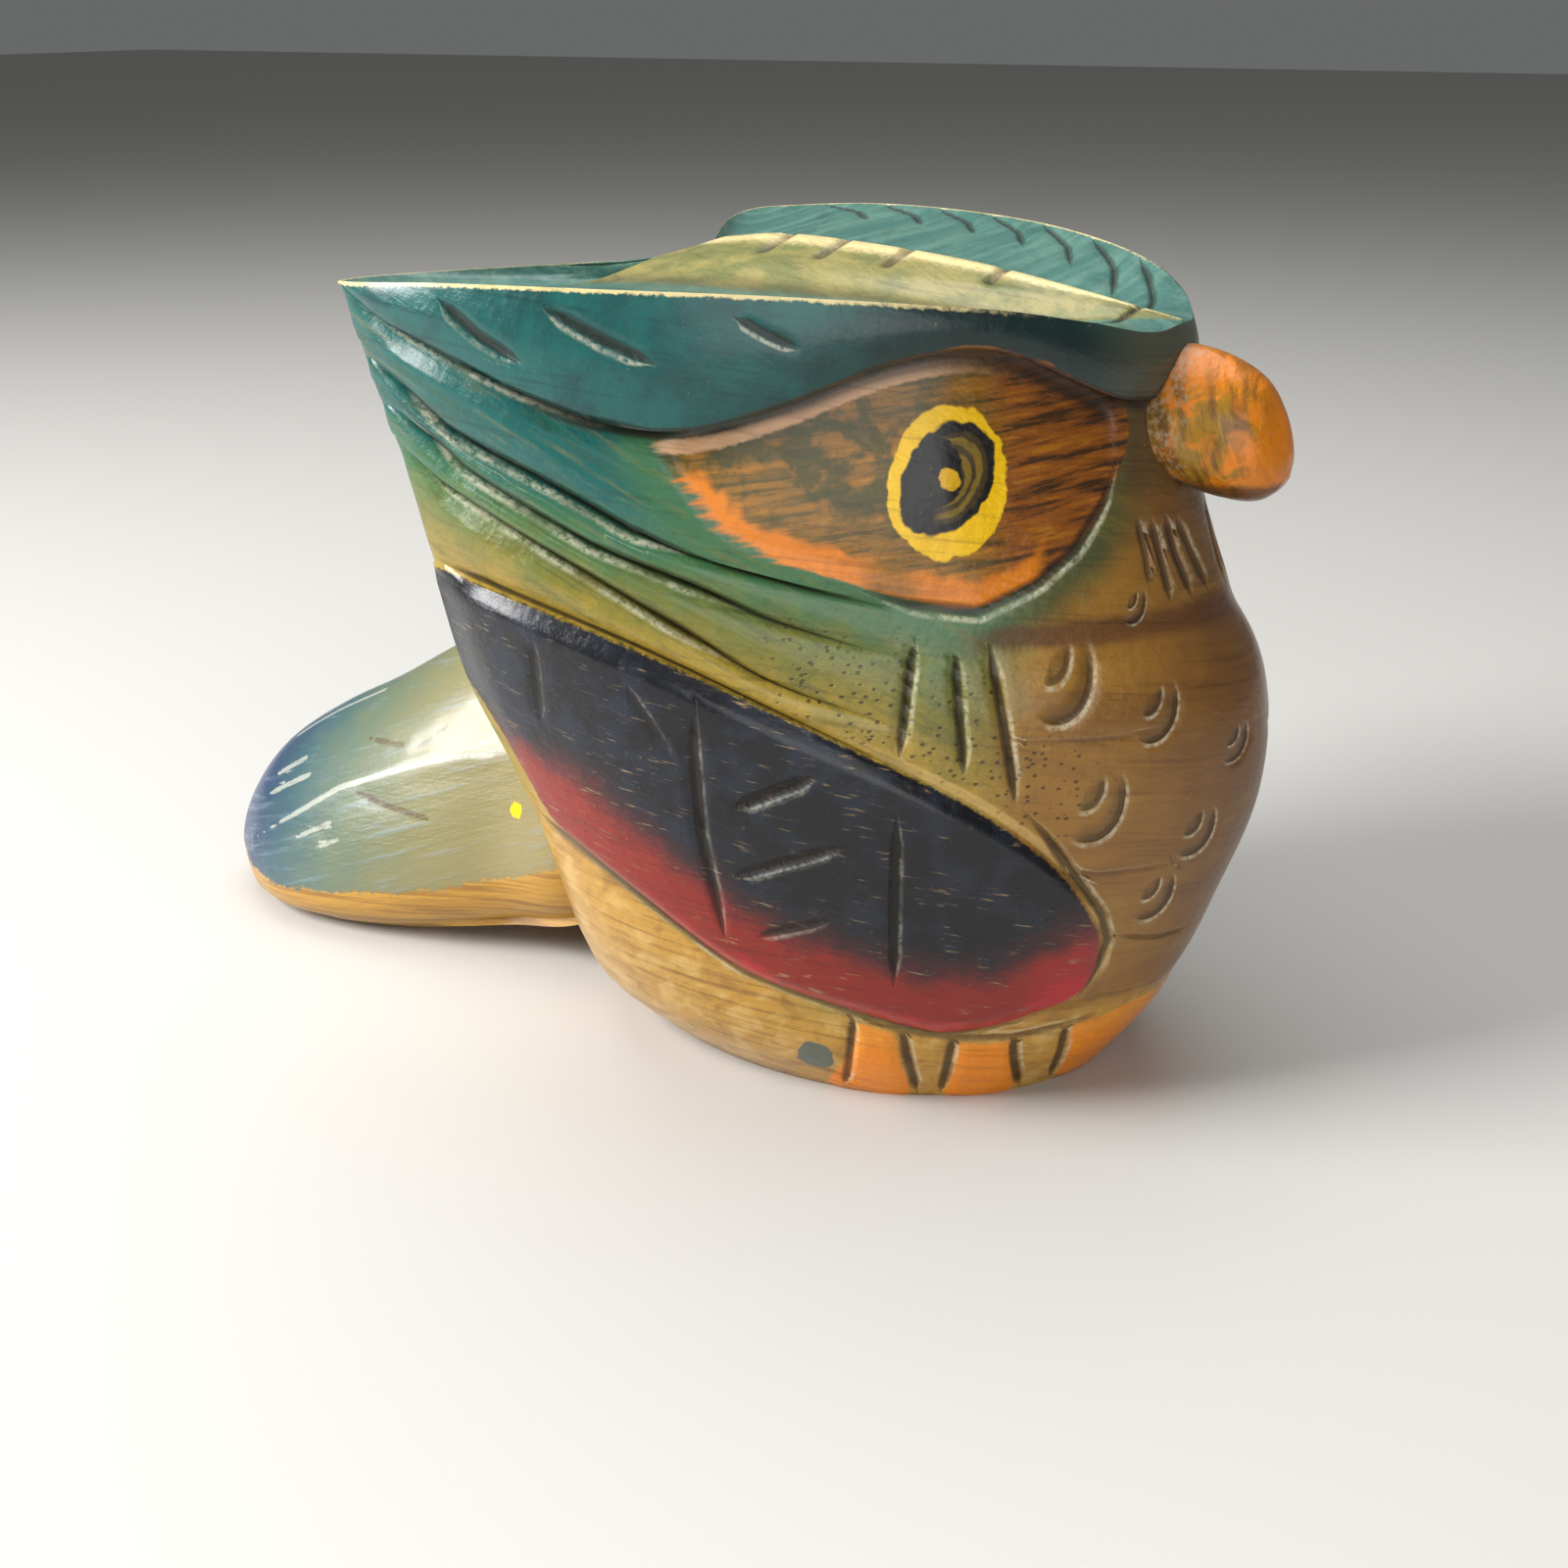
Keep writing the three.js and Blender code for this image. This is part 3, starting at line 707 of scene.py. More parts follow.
def tail_rings():
    at = np.linspace(0, 1, 90)[:, None] ** 1.4
    ahead = TAIL[0][0] + (TAIL[-1][0] - TAIL[0][0]) * at
    centre, foot, lift, edge, edge_height, ridge = (follow(TAIL, ahead, c) for c in range(1, 7))
    sole = np.maximum(lift, 0)
    turn = np.linspace(0, np.pi, 64)
    reach = np.sign(np.cos(turn)) * np.abs(np.cos(turn)) ** TAIL_DOME
    rise = np.maximum(np.sin(turn), 0) ** TAIL_DOME
    dome_width = centre + edge * reach
    dome_height = edge_height + (ridge - edge_height) * rise
    sink, marks = carve_tail(ahead + 0 * dome_width, dome_width - centre, dome_height)
    dome_height = dome_height - sink * rise
    dome_width = dome_width - np.sign(reach) * sink * (1 - rise)
    wall = [[-0.98, 0.72], [-0.94, 0.45], [-0.87, 0.25], [-0.8, 0.12]]
    belly = wall + [[-1, 0], [-0.4, 0], [0.4, 0], [1, 0]] + [[-x, y] for x, y in reversed(wall)]
    belly_width = [centre + (foot if y == 0 else edge) * x for x, y in belly]
    belly_height = [sole + (edge_height - sole) * y for x, y in belly]
    width = np.concatenate([dome_width, *belly_width], axis=1)
    height = np.concatenate([dome_height, *belly_height], axis=1)
    rings = np.stack([-width, -ahead + 0 * width, height], axis=-1)
    under = np.full((len(at), len(belly)), FAR)
    values = {name: np.concatenate([value, under], axis=1) for name, value in marks.items()}
    values["over"] = height - edge_height
    return rings[:, ::-1], {name: value[:, ::-1] for name, value in values.items()}


def carve_tail(ahead, width, height):
    """Depth of the tail's marks, and the offsets of its light and its dark ones."""
    light = TAIL_CUTS + [[TAIL_SHAFT, SHAFT_WIDTH, -SHAFT_RISE]]
    depth, marks = chisel(light, ahead, height)
    shaft = stroke_distance(TAIL_SHAFT, ahead, height)[0]
    rise, half = SHAFT_RIDGE
    depth = depth - rise * np.exp(-((shaft / half) ** 2))
    barb_depth, barbs = chisel(TAIL_BARBS, ahead, height)
    opens, closes, offset, half = TAIL_SEAM
    aside = (np.abs(width) - offset) / half
    seam = np.abs(aside) + FAR * (1 - fade(ahead, opens, opens + 4))
    seam = np.minimum(seam + FAR * fade(ahead, closes - 5, closes), FAR)
    return depth + barb_depth, {
        "signed": np.where(seam < marks["plain"], aside, marks["signed"]),
        "plain": np.minimum(marks["plain"], seam),
        "barb": barbs["signed"],
        "barb_plain": barbs["plain"],
    }


# One closed mesh


def merged(points, faces, values):
    """Joins points that lie in one spot and drops faces that this leaves empty."""
    _, first, same = np.unique(np.round(points, 4), axis=0, return_index=True, return_inverse=True)
    faces = same.reshape(-1)[faces]
    kept = (faces != np.roll(faces, 1, axis=1)).all(axis=1)
    return points[first], faces[kept], {name: value[first] for name, value in values.items()}


def linked(name, data):
    """A new object in the scene."""
    made = bpy.data.objects.new(name, data)
    bpy.context.scene.collection.objects.link(made)
    return made


def made_object(name, points, faces, paints, paint_index):
    mesh = bpy.data.meshes.new(name)
    mesh.from_pydata((points * MM).tolist(), [], faces.tolist())
    for material in paints:
        mesh.materials.append(material)
    mesh.polygons.foreach_set("material_index", np.full(len(faces), paint_index, np.int32))
    return linked(name, mesh)


def body_values(grid):
    """What the paint needs to know at each point of the body."""
    place = along(grid["ahead"], grid["width"])
    height = grid["height"]
    low = follow(WING_TOP, place)
    values = {
        "place": place,
        "wing": outline_distance(WING_OUTLINE, place, height),
        "hem": stroke_distance(WING_OUTLINE[9:17], place, height)[0],
        "patch": outline_distance(PATCH_OUTLINE, place, height),
        "edge": stroke_distance(PATCH_OUTLINE[10:], place, height)[0],
        "toes": np.max([outline_distance(patch, place, height) for patch in TOE_PATCHES], axis=0),
        "blot": PAINT_BLOT[2] - np.hypot(place - PAINT_BLOT[0], height - PAINT_BLOT[1]),
        "rise": (height - low) / np.maximum(follow(BROW_LINE, place) - low, 5),
        "brow": height - follow(BROW_LINE, place),
    }
    values.update(zip(("scale_across", "scale_up", "scale_far"), nearest_scale(place, height)))
    for name in ("rim", "crest", "top", "back", "signed", "plain", "deep", "notch"):
        values[name] = grid[name]
    return {name: value.reshape(-1) for name, value in values.items()}


def body_object(paints):
    right_points, right_faces, grid = body_part(1)
    left_points, left_faces, _ = body_part(-1)
    values = body_values(grid)
    both = {name: np.concatenate([value, value]) for name, value in values.items()}
    points = np.concatenate([right_points, left_points])
    faces = np.concatenate([right_faces, left_faces + len(right_points)])
    points, faces, both = merged(points, faces, both)
    return made_object("owl_carving", points, faces, paints, 0), points, both


def tail_object(paints):
    rings, values = tail_rings()
    points, faces = capped_rings(rings)
    ends = np.full(2, FAR)
    values = {name: np.concatenate([value.reshape(-1), ends]) for name, value in values.items()}
    return made_object("tail", points, faces, paints, 1), points, values


def beak_object(paints):
    points, faces = capped_rings(beak_rings())
    return made_object("beak", points, faces, paints, 2)


def join_to(body, added):
    """Adds another closed mesh to the body as one solid."""
    union = body.modifiers.new("union", "BOOLEAN")
    union.operation = "UNION"
    union.solver = "MANIFOLD"
    union.object = added
    bpy.context.view_layer.objects.active = body
    bpy.ops.object.modifier_apply(modifier=union.name)
    bpy.data.objects.remove(added)


def mesh_points(mesh):
    points = np.zeros(len(mesh.vertices) * 3)
    mesh.vertices.foreach_get("co", points)
    return points.reshape(-1, 3)


def keep_in_box(mesh, low, high):
    """Holds the mesh a hair inside the construction's box."""
    points = np.clip(mesh_points(mesh), np.array(low) + HAIR, np.array(high) - HAIR)
    mesh.vertices.foreach_set("co", points.reshape(-1))
    mesh.update()


def set_values(mesh, name, values):
    layer = mesh.attributes.new(name, "FLOAT", "POINT")
    layer.data.foreach_set("value", np.asarray(values, np.float32))


def carry_values(mesh, sources):
    """Gives each point of the joined mesh the values of the nearest point before it."""
    points = np.concatenate([points for points, _ in sources])
    tree = KDTree(len(points))
    for index, point in enumerate(points):
        tree.insert(Vector(point) * MM, index)
    tree.balance()
    nearest = np.array([tree.find(vertex.co)[1] for vertex in mesh.vertices])
    names = sorted({name for _, values in sources for name in values})
    for name in names:
        rows = [values.get(name, np.zeros(len(points))) for points, values in sources]
        set_values(mesh, name, np.concatenate(rows)[nearest])


def hollowness(mesh, rounds):
    """How far each point lies below the mean of those round it, in millimetres."""
    count = len(mesh.vertices)
    points = mesh_points(mesh) / MM
    normals = np.zeros(count * 3)
    mesh.vertex_normals.foreach_get("vector", normals)
    ends = np.zeros(len(mesh.edges) * 2, np.int32)
    mesh.edges.foreach_get("vertices", ends)
    start, end = ends.reshape(-1, 2).T
    joined = np.bincount(start, minlength=count) + np.bincount(end, minlength=count)
    smooth = points
    for _ in range(rounds):
        total = np.zeros_like(smooth)
        for axis in range(3):
            total[:, axis] += np.bincount(start, smooth[end, axis], count)
            total[:, axis] += np.bincount(end, smooth[start, axis], count)
        smooth = total / joined[:, None]
    return ((smooth - points) * normals.reshape(-1, 3)).sum(1)


def carved_owl():
    """The whole carving as one mesh, with the values that its paint reads."""
    paints = [body_paint(), tail_paint(), beak_paint()]
    body, points, values = body_object(paints)
    tail, tail_points, tail_values = tail_object(paints)
    join_to(body, tail)
    join_to(body, beak_object(paints))
    mesh = body.data
    keep_in_box(mesh, *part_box("owl"))
    carry_values(mesh, [(points, values), (tail_points, tail_values)])
    set_values(mesh, "hollow", hollowness(mesh, 2))
    set_values(mesh, "sunk", hollowness(mesh, 14))
    mesh.shade_smooth()
    mesh.set_sharp_from_angle(angle=SMOOTH_BELOW)
    return body


# Shader helpers


def paint(red, green, blue):
    """A colour given as 0 to 255 per channel, as the renderer's linear values."""
    def linear(channel):
        share = channel / 255
        return share / 12.92 if share <= 0.04045 else ((share + 0.055) / 1.055) ** 2.4
    return (linear(red), linear(green), linear(blue), 1)


class Graph:
    """Adds shader nodes by what they do and joins them up."""

    def __init__(self, name):
        self.material = bpy.data.materials.new(name)
        self.material.use_nodes = True
        self.tree = self.material.node_tree
        self.tree.nodes.clear()

    def node(self, kind, inputs=None, **settings):
        """A new node with its inputs set or linked."""
        made = self.tree.nodes.new(kind)
        for name, value in settings.items():
            setattr(made, name, value)
        for name, value in (inputs or {}).items():
            self.put(made.inputs[name], value)
        return made

    def put(self, socket, value):
        if isinstance(value, bpy.types.NodeSocket):
            self.tree.links.new(value, socket)
        else:
            socket.default_value = value

    def math(self, operation, *values):
        return self.node("ShaderNodeMath", dict(enumerate(values)), operation=operation).outputs[0]

    def fold(self, operation, values):
        total = values[0]
        for value in values[1:]:
            total = self.math(operation, total, value)
        return total

    def add(self, *values):
        return self.fold("ADD", values)

    def times(self, *values):
        return self.fold("MULTIPLY", values)

    def most(self, *values):
        return self.fold("MAXIMUM", values)

    def invert(self, value):
        return self.math("SUBTRACT", 1, value)

    def step(self, value, low, high):
        """0 below low and 1 above high, or the other way round when low is above high."""
        if isinstance(high, (int, float)) and low > high:
            return self.invert(self.step(value, high, low))
        inputs = {"Value": value, "From Min": low, "From Max": high}
        return self.node("ShaderNodeMapRange", inputs, interpolation_type="SMOOTHSTEP").outputs[0]

    def mix(self, share, first, second, blend="MIX"):
        inputs = {0: share, 6: first, 7: second}
        return self.node("ShaderNodeMix", inputs, data_type="RGBA", blend_type=blend).outputs[2]

    def ramp(self, value, *stops):
        """Colours at places along a value, blended between them."""
        made = self.node("ShaderNodeValToRGB", {0: value})
        spots = made.color_ramp.elements
        while len(spots) < len(stops):
            spots.new(0.5)
        for spot, (position, _) in zip(spots, stops):
            spot.position = position
        for spot, (_, colour) in zip(spots, stops):
            spot.color = colour
        return made.outputs[0]

    def read(self, name):
        return self.node("ShaderNodeAttribute", attribute_name=name).outputs["Fac"]

    def spot(self):
        """Where a point is on the carving, in millimetres."""
        place = self.node("ShaderNodeTexCoord").outputs["Object"]
        scaled = {0: place, "Scale": 1 / MM}
        return self.node("ShaderNodeVectorMath", scaled, operation="SCALE").outputs[0]

    def split(self, vector):
        return self.node("ShaderNodeSeparateXYZ", {0: vector}).outputs[:3]

    def joined(self, *values):
        return self.node("ShaderNodeCombineXYZ", dict(enumerate(values))).outputs[0]

    def noise(self, vector, scale, detail, roughness, distortion=0):
        inputs = {"Vector": vector, "Scale": scale, "Detail": detail}
        inputs.update({"Roughness": roughness, "Distortion": distortion})
        return self.node("ShaderNodeTexNoise", inputs).outputs["Fac"]

    def cells(self, vector, scale):
        return self.node("ShaderNodeTexVoronoi", {"Vector": vector, "Scale": scale}).outputs["Distance"]

    def streaks(self, across, along_it, third, angle, length, breadth):
        """Noise drawn out along a direction of a sheet, for brush marks and grain."""
        cosine, sine = math.cos(math.radians(angle)), math.sin(math.radians(angle))
        run = self.add(self.times(across, cosine), self.times(along_it, sine))
        side = self.add(self.times(across, -sine), self.times(along_it, cosine))
        stretched = self.joined(
            self.times(run, 1 / length),
            self.times(side, 1 / breadth),
            self.times(third, 0.05),
        )
        return self.noise(stretched, 1, 4, 0.6)

    def wobble(self, value, noise, amount):
        """A value shaken by noise, so that an edge isn't drawn with a ruler."""
        return self.add(value, self.times(self.math("SUBTRACT", noise, 0.5), amount))

    def ragged(self, value, noise, amount, low, high):
        """A step whose edge is shaken by noise."""
        return self.step(self.wobble(value, noise, amount), low, high)

    def over(self, below, coat, *shares):
        """A coat over the colour below, as thick as the product of its shares."""
        return self.mix(self.times(*shares), below, coat)

    def varnished(self, colour, roughness, relief):
        """Paint under a worn coat of varnish, with the relief in millimetres as bump."""
        raised = {"Strength": 1, "Distance": MM, "Height": relief}
        bump = self.node("ShaderNodeBump", raised)
        inputs = {
            "Base Color": colour,
            "Roughness": roughness,
            "Normal": bump.outputs[0],
            "IOR": 1.5,
            "Specular IOR Level": 0.25,
            "Coat Weight": 0.45,
            "Coat Roughness": 0.2,
        }
        self.surface(inputs)

    def surface(self, inputs):
        """The material's one shader."""
        shader = self.node("ShaderNodeBsdfPrincipled", inputs)
        self.node("ShaderNodeOutputMaterial", {"Surface": shader.outputs[0]})


# Paint colours

TEAL = paint(20, 84, 80)
DEEP_TEAL = paint(12, 50, 52)
GREEN = paint(58, 100, 62)
DARK_GREEN = paint(44, 72, 44)
OLIVE = paint(106, 104, 40)
GOLD = paint(158, 130, 50)
BROWN = paint(144, 102, 38)
# Darker brown for painted shade on the breast's front and for its ring bands
SHADE_AND_RING_BROWN = paint(104, 68, 34)
TAN = paint(178, 134, 52)
PALE_WOOD = paint(204, 168, 100)
CREAM = paint(224, 204, 146)
# Pale worn paint, also used as a painted highlight along cut edges
PALE_WEAR_AND_HIGHLIGHT = paint(212, 208, 180)
# Dark brown for pores and grime, and for painted shade in hollows and cuts
DIRT_AND_SHADE = paint(34, 24, 14)
NAVY = paint(12, 14, 20)
PLUM = paint(58, 24, 28)
RED = paint(128, 30, 20)
CRIMSON = paint(164, 26, 34)
ORANGE = paint(206, 116, 0)
MOSS = paint(54, 58, 8)
# Umber for grime along the grain and for painted shade under the beak and in the tail's barbs
UMBER_AND_SHADE = paint(74, 48, 20)
PINK_TAN = paint(206, 160, 118)
YELLOW = paint(234, 186, 0)
PUPIL = paint(14, 10, 8)
BLUE = paint(30, 50, 84)
SLATE = paint(60, 86, 90)
GREY_BLUE = paint(132, 150, 160)
NECK_BROWN = paint(84, 50, 28)
# Near-black teal for painted shade on the brow above the eye
BLACK_TEAL_SHADE = paint(20, 30, 30)
GREY_OLIVE = paint(70, 72, 58)
# Dark brown for painted shade beside the beak's root
ROOT_SHADE_BROWN = paint(74, 54, 34)
AMBER = paint(136, 92, 8)
RUST = paint(136, 76, 18)
DARK_AMBER = paint(88, 68, 10)
DARK_RUST = paint(62, 38, 14)
BRIGHT_AMBER = paint(176, 114, 8)
SWIRL_OLIVE = paint(122, 98, 26)
SWIRL_BROWN = paint(64, 50, 22)
DOT_YELLOW = paint(206, 158, 10)
WING_BLUE = paint(26, 34, 48)
BARE_WOOD = paint(160, 132, 92)
SOLE_BROWN = paint(136, 88, 30)
TOE_ORANGE = paint(220, 126, 0)
PALE_ORANGE = paint(206, 140, 50)
BRIGHT_ORANGE = paint(244, 160, 24)
BLOT_GREY = paint(84, 92, 82)
EAR_TEAL_AND_REFLECTION = paint(58, 106, 98)
PALE_TEAL_AND_REFLECTION = paint(88, 128, 114)
CREST_OLIVE = paint(146, 136, 78)
CREST_GREEN = paint(114, 116, 64)
TAIL_TAN = paint(138, 124, 82)
TAIL_OLIVE = paint(120, 116, 80)
TAIL_GREEN = paint(90, 104, 86)
# Pale grey for scratches on the tail and a painted highlight along its shaft
TAIL_SCRATCH_AND_HIGHLIGHT = paint(176, 178, 164)
BEAK_BROWN = paint(160, 96, 14)
BEAK_OLIVE = paint(132, 104, 16)
BEAK_UMBER = paint(92, 62, 14)
BEAK_BARE = paint(176, 156, 126)
FLOOR_GREY = paint(190, 188, 184)
SKY_WHITE = paint(232, 236, 234)


def feather_coat(g, marks):
    """Teal by the brow through green to gold by the wing, with dabs along the locks."""
    rise = g.wobble(g.read("rise"), marks.mottle, 0.34)
    rise = g.wobble(rise, marks.locks, 0.3)
    colour = g.ramp(rise, (0, GOLD), (0.2, OLIVE), (0.45, GREEN), (0.66, TEAL), (1, TEAL))
    colour = g.over(colour, GOLD, g.step(marks.locks, 0.5, 0.68), 0.18)
    return g.over(colour, DARK_GREEN, g.step(marks.locks, 0.48, 0.36), 0.45)


def breast_coat(g, marks):
    """Brown that darkens towards the middle as painted shade on the front, in bands like the rings of
    the wood.
    """
    # Painted shade: darker brown towards the breast's front
    colour = g.over(BROWN, SHADE_AND_RING_BROWN, g.ragged(marks.place, marks.mottle, 9, 13, 36))
    colour = g.over(colour, SHADE_AND_RING_BROWN, g.step(marks.rings, 0.5, 0.68), 0.5)
    return g.over(colour, GOLD, g.step(marks.rings, 0.46, 0.3), 0.35)


def side_coat(g, marks):
    """The feathers and the breast, the greens below the eye and the line of the neck."""
    reach = g.ragged(marks.place, marks.mottle, 8, 1, 12)
    coat = g.over(feather_coat(g, marks), breast_coat(g, marks), reach)
    beneath = g.over(GREEN, DARK_GREEN, g.step(marks.place, 4, 12))
    beneath = g.over(beneath, OLIVE, g.step(marks.locks, 0.5, 0.66), 0.4)
    under_eye = g.ragged(g.read("patch"), marks.mottle, 3, -6, -1.5)
    coat = g.over(coat, beneath, under_eye, g.step(marks.place, 26, 16), 0.8)
    neck = g.times(
        g.ragged(marks.height, marks.rings, 2, 51.4, 52.8),
        g.ragged(marks.height, marks.mottle, 2, 55, 53.8),
        g.step(marks.place, 1, 8),
    )
    return g.over(coat, NECK_BROWN, neck, 0.75)


def brow_coat(g, marks, coat):
    """Dark teal over the brow, nearly black above the eye as painted shade under its overhang, and grey
    by the beak, with painted shade in dark brown beside the beak's root.
    """
    brow = g.over(TEAL, DEEP_TEAL, g.step(marks.mottle, 0.4, 0.66), 0.5)
    # Painted shade: nearly black on the brow's lower edge above the eye
    shade_over_eye = g.times(
        g.ragged(marks.place, marks.mottle, 10, -20, 2),
        g.ragged(g.read("brow"), marks.mottle, 4, 9, 4),
    )
    brow = g.over(brow, BLACK_TEAL_SHADE, shade_over_eye, 0.85)
    brow = g.over(brow, GREY_OLIVE, g.step(marks.place, 13, 22))
    # Painted shade: dark brown beside the beak's root, under the brow
    root = g.times(g.step(marks.place, 18, 20), g.ragged(marks.height, marks.mottle, 4, 62, 67))
    coat = g.over(coat, ROOT_SHADE_BROWN, root, 0.7)
    return g.over(coat, brow, g.step(g.read("brow"), -0.1, 0.1))


def eye_coat(g, marks, coat):
    """Orange-brown almond with olive strokes, a bright lower edge and the yellow eye."""
    patch = g.wobble(g.read("patch"), marks.mottle, 0.9)
    strokes = marks.strokes
    right = g.ragged(marks.place, marks.mottle, 8, 2, 9)
    ground = g.over(AMBER, RUST, right)
    dark = g.over(DARK_AMBER, DARK_RUST, right)
    colour = g.over(ground, dark, g.step(strokes, 0.46, 0.64))
    colour = g.over(colour, BRIGHT_AMBER, g.step(strokes, 0.45, 0.33), 0.6)
    left = g.ragged(marks.place, marks.blobs, 14, 3, -5)
    high = g.ragged(marks.height, marks.mottle, 5, 62, 67)
    colour = g.over(colour, MOSS, g.step(marks.mottle, 0.4, 0.52), left, high, 0.85)
    low = g.ragged(g.read("edge"), marks.blobs, 3, 3, 1.8)
    low = g.times(low, g.ragged(g.read("edge"), strokes, 4, 3.6, 2.4))
    before = g.step(marks.place, 11.5, 9.5)
    waist = g.invert(g.times(g.step(marks.place, -8, -5), g.step(marks.place, 0, -3), 0.7))
    colour = g.over(colour, ORANGE, low, before, waist)
    under_brow = g.wobble(g.read("brow"), marks.fine, 0.6)
    bevel = g.times(g.step(under_brow, -2.6, -2.2), g.step(under_brow, -0.9, -1.2))
    left_half = g.ragged(marks.place, marks.fine, 10, 8, -1)
    colour = g.over(colour, PINK_TAN, bevel, left_half, 0.9)
    colour = eye_ring(g, marks, colour)
    soft = g.times(g.step(marks.place, -12, -20), 1.2)
    edge = g.wobble(patch, strokes, g.times(soft, 4))
    return g.over(coat, colour, g.step(edge, -0.15, g.add(soft, 0.15)))


def eye_ring(g, marks, coat):
    """A thick yellow ring round a dark pupil with an olive swirl and a yellow dot."""
    across = g.times(g.add(marks.place, -EYE_CENTRE[0]), 1 / EYE_SIZE[0])
    up = g.times(g.add(marks.height, -EYE_CENTRE[1]), 1 / EYE_SIZE[1])
    across = g.wobble(across, marks.fine, 0.1)
    across = g.wobble(across, marks.blobs, 0.16)
    up = g.wobble(up, marks.swirl, 0.2)

    def ellipse(shift, rise, width, height, slant=0):
        x = g.add(across, g.times(up, -slant), -shift)
        y = g.add(up, -rise)
        return g.math("SQRT", g.add(g.times(x, x, 1 / width**2), g.times(y, y, 1 / height**2)))

    colour = g.over(coat, YELLOW, g.step(ellipse(0, 0, 1, 1), 1.02, 0.98))
    pupil = ellipse(-0.02, 0.05, 0.78, 0.74, 0.26)
    colour = g.over(colour, PUPIL, g.step(pupil, 1.03, 0.97))
    swirl = g.times(g.step(pupil, 0.86, 0.8), g.step(ellipse(-0.2, 0.14, 0.46, 0.46), 0.95, 1.05))
    swirl = g.times(swirl, g.step(across, -0.25, -0.05))
    streak = g.math("SINE", g.times(pupil, 26))
    olive = g.over(SWIRL_OLIVE, SWIRL_BROWN, g.step(streak, -0.5, 0.7))
    colour = g.over(colour, olive, swirl)
    return g.over(colour, DOT_YELLOW, g.step(ellipse(0.04, 0.06, 0.19, 0.15), 1.06, 0.9))


def wing_coat(g, marks, coat):
    """Blue-black wing that turns through plum to red along its lower edge."""
    wing = g.wobble(g.read("wing"), marks.fine, 0.7)
    hem = g.wobble(g.read("hem"), marks.mottle, 5)
    hem = g.wobble(hem, marks.scratches, 3.5)
    colour = g.ramp(g.times(hem, 1 / 14), (0.1, RED), (0.36, RED), (0.56, PLUM), (0.74, NAVY))
    corner = g.times(g.step(wing, 4, 1.6), g.step(marks.height, 45, 36), g.step(marks.place, -33, -38))
    colour = g.over(colour, RED, corner)
    bright = g.times(g.step(hem, 2, 1), g.step(marks.place, -32, -18))
    colour = g.over(colour, CRIMSON, bright)
    end = g.times(g.step(marks.place, 9, 14), g.step(hem, 6.5, 4))
    colour = g.over(colour, CRIMSON, end, 0.5)
    blue = g.times(g.step(marks.mottle, 0.42, 0.62), g.step(hem, 8, 11))
    colour = g.over(colour, WING_BLUE, blue, 0.7)
    bare = g.times(g.step(marks.scratches, 0.6, 0.7), g.step(marks.mottle, 0.42, 0.56))
    colour = g.over(colour, BARE_WOOD, bare, 0.7)
    return g.over(coat, colour, g.step(wing, -0.15, 0.15))


def foot_coat(g, marks, coat):
    """Bare golden base under the belly, with orange toes and one stray blot."""
    low = g.ragged(marks.height, marks.mottle, 2, 13.5, 9.5)
    base = g.over(TAN, BROWN, g.step(marks.grain, 0.46, 0.66), 0.6)
    base = g.over(base, PALE_WOOD, g.step(marks.blobs, 0.5, 0.7), 0.5)
    base = g.over(base, SOLE_BROWN, g.step(marks.blobs, 0.42, 0.3), 0.5)
    off_wing = g.step(g.read("wing"), 0, -1)
    rear = g.step(marks.place, -8, -16)
    under = g.times(off_wing, rear, g.step(marks.height, 36, 30))
    coat = g.over(coat, base, g.most(g.times(low, off_wing), under))
    toes = g.wobble(g.read("toes"), marks.mottle, 0.8)
    orange = g.over(TOE_ORANGE, PALE_ORANGE, g.step(marks.height, 6, 10), 0.5)
    orange = g.over(orange, BRIGHT_ORANGE, g.step(marks.fine, 0.5, 0.7), 0.4)
    coat = g.over(coat, orange, g.step(toes, 0.2, 0.55))
    blot = g.wobble(g.read("blot"), marks.mottle, 3.6)
    return g.over(coat, BLOT_GREY, g.step(blot, -0.1, 0.25))


def top_coat(g, marks, coat):
    """Pale teal ear tops, lightened partly as a painted reflection, an olive crest with a worn cream
    back, and a worn rim.
    """
    crest = g.wobble(g.read("crest"), marks.fine, 0.08)
    # Pale teal: the ear tops' paint, lightened with a painted reflection
    ear = g.over(EAR_TEAL_AND_REFLECTION, PALE_TEAL_AND_REFLECTION, g.step(marks.locks, 0.36, 0.66))
    ridge = g.over(CREST_OLIVE, CREST_GREEN, g.step(marks.mottle, 0.4, 0.6))
    ridge = g.over(ridge, CREAM, g.step(crest, 0.9, 0.97))
    colour = g.over(ear, ridge, g.step(crest, 0.52, 0.64))
    coat = g.over(coat, colour, g.read("top"))
    worn = g.ragged(g.read("rim"), marks.fine, 0.8, 0.45, 0.2)
    worn = g.times(worn, g.ragged(marks.place, marks.fine, 30, 12, -8))
    return g.over(coat, CREAM, worn, 0.85)


def back_coat(g, marks, coat):
    """The plain back, from teal under the nape to gold by the tail."""
    level = g.wobble(marks.height, marks.mottle, 14)
    level = g.wobble(level, marks.grain, 8)
    colour = g.ramp(
        g.times(level, 1 / 90),
        (0.1, TAN), (0.3, GOLD), (0.52, OLIVE), (0.7, GREEN), (0.84, TEAL),
    )
    return g.over(coat, colour, g.read("back"))


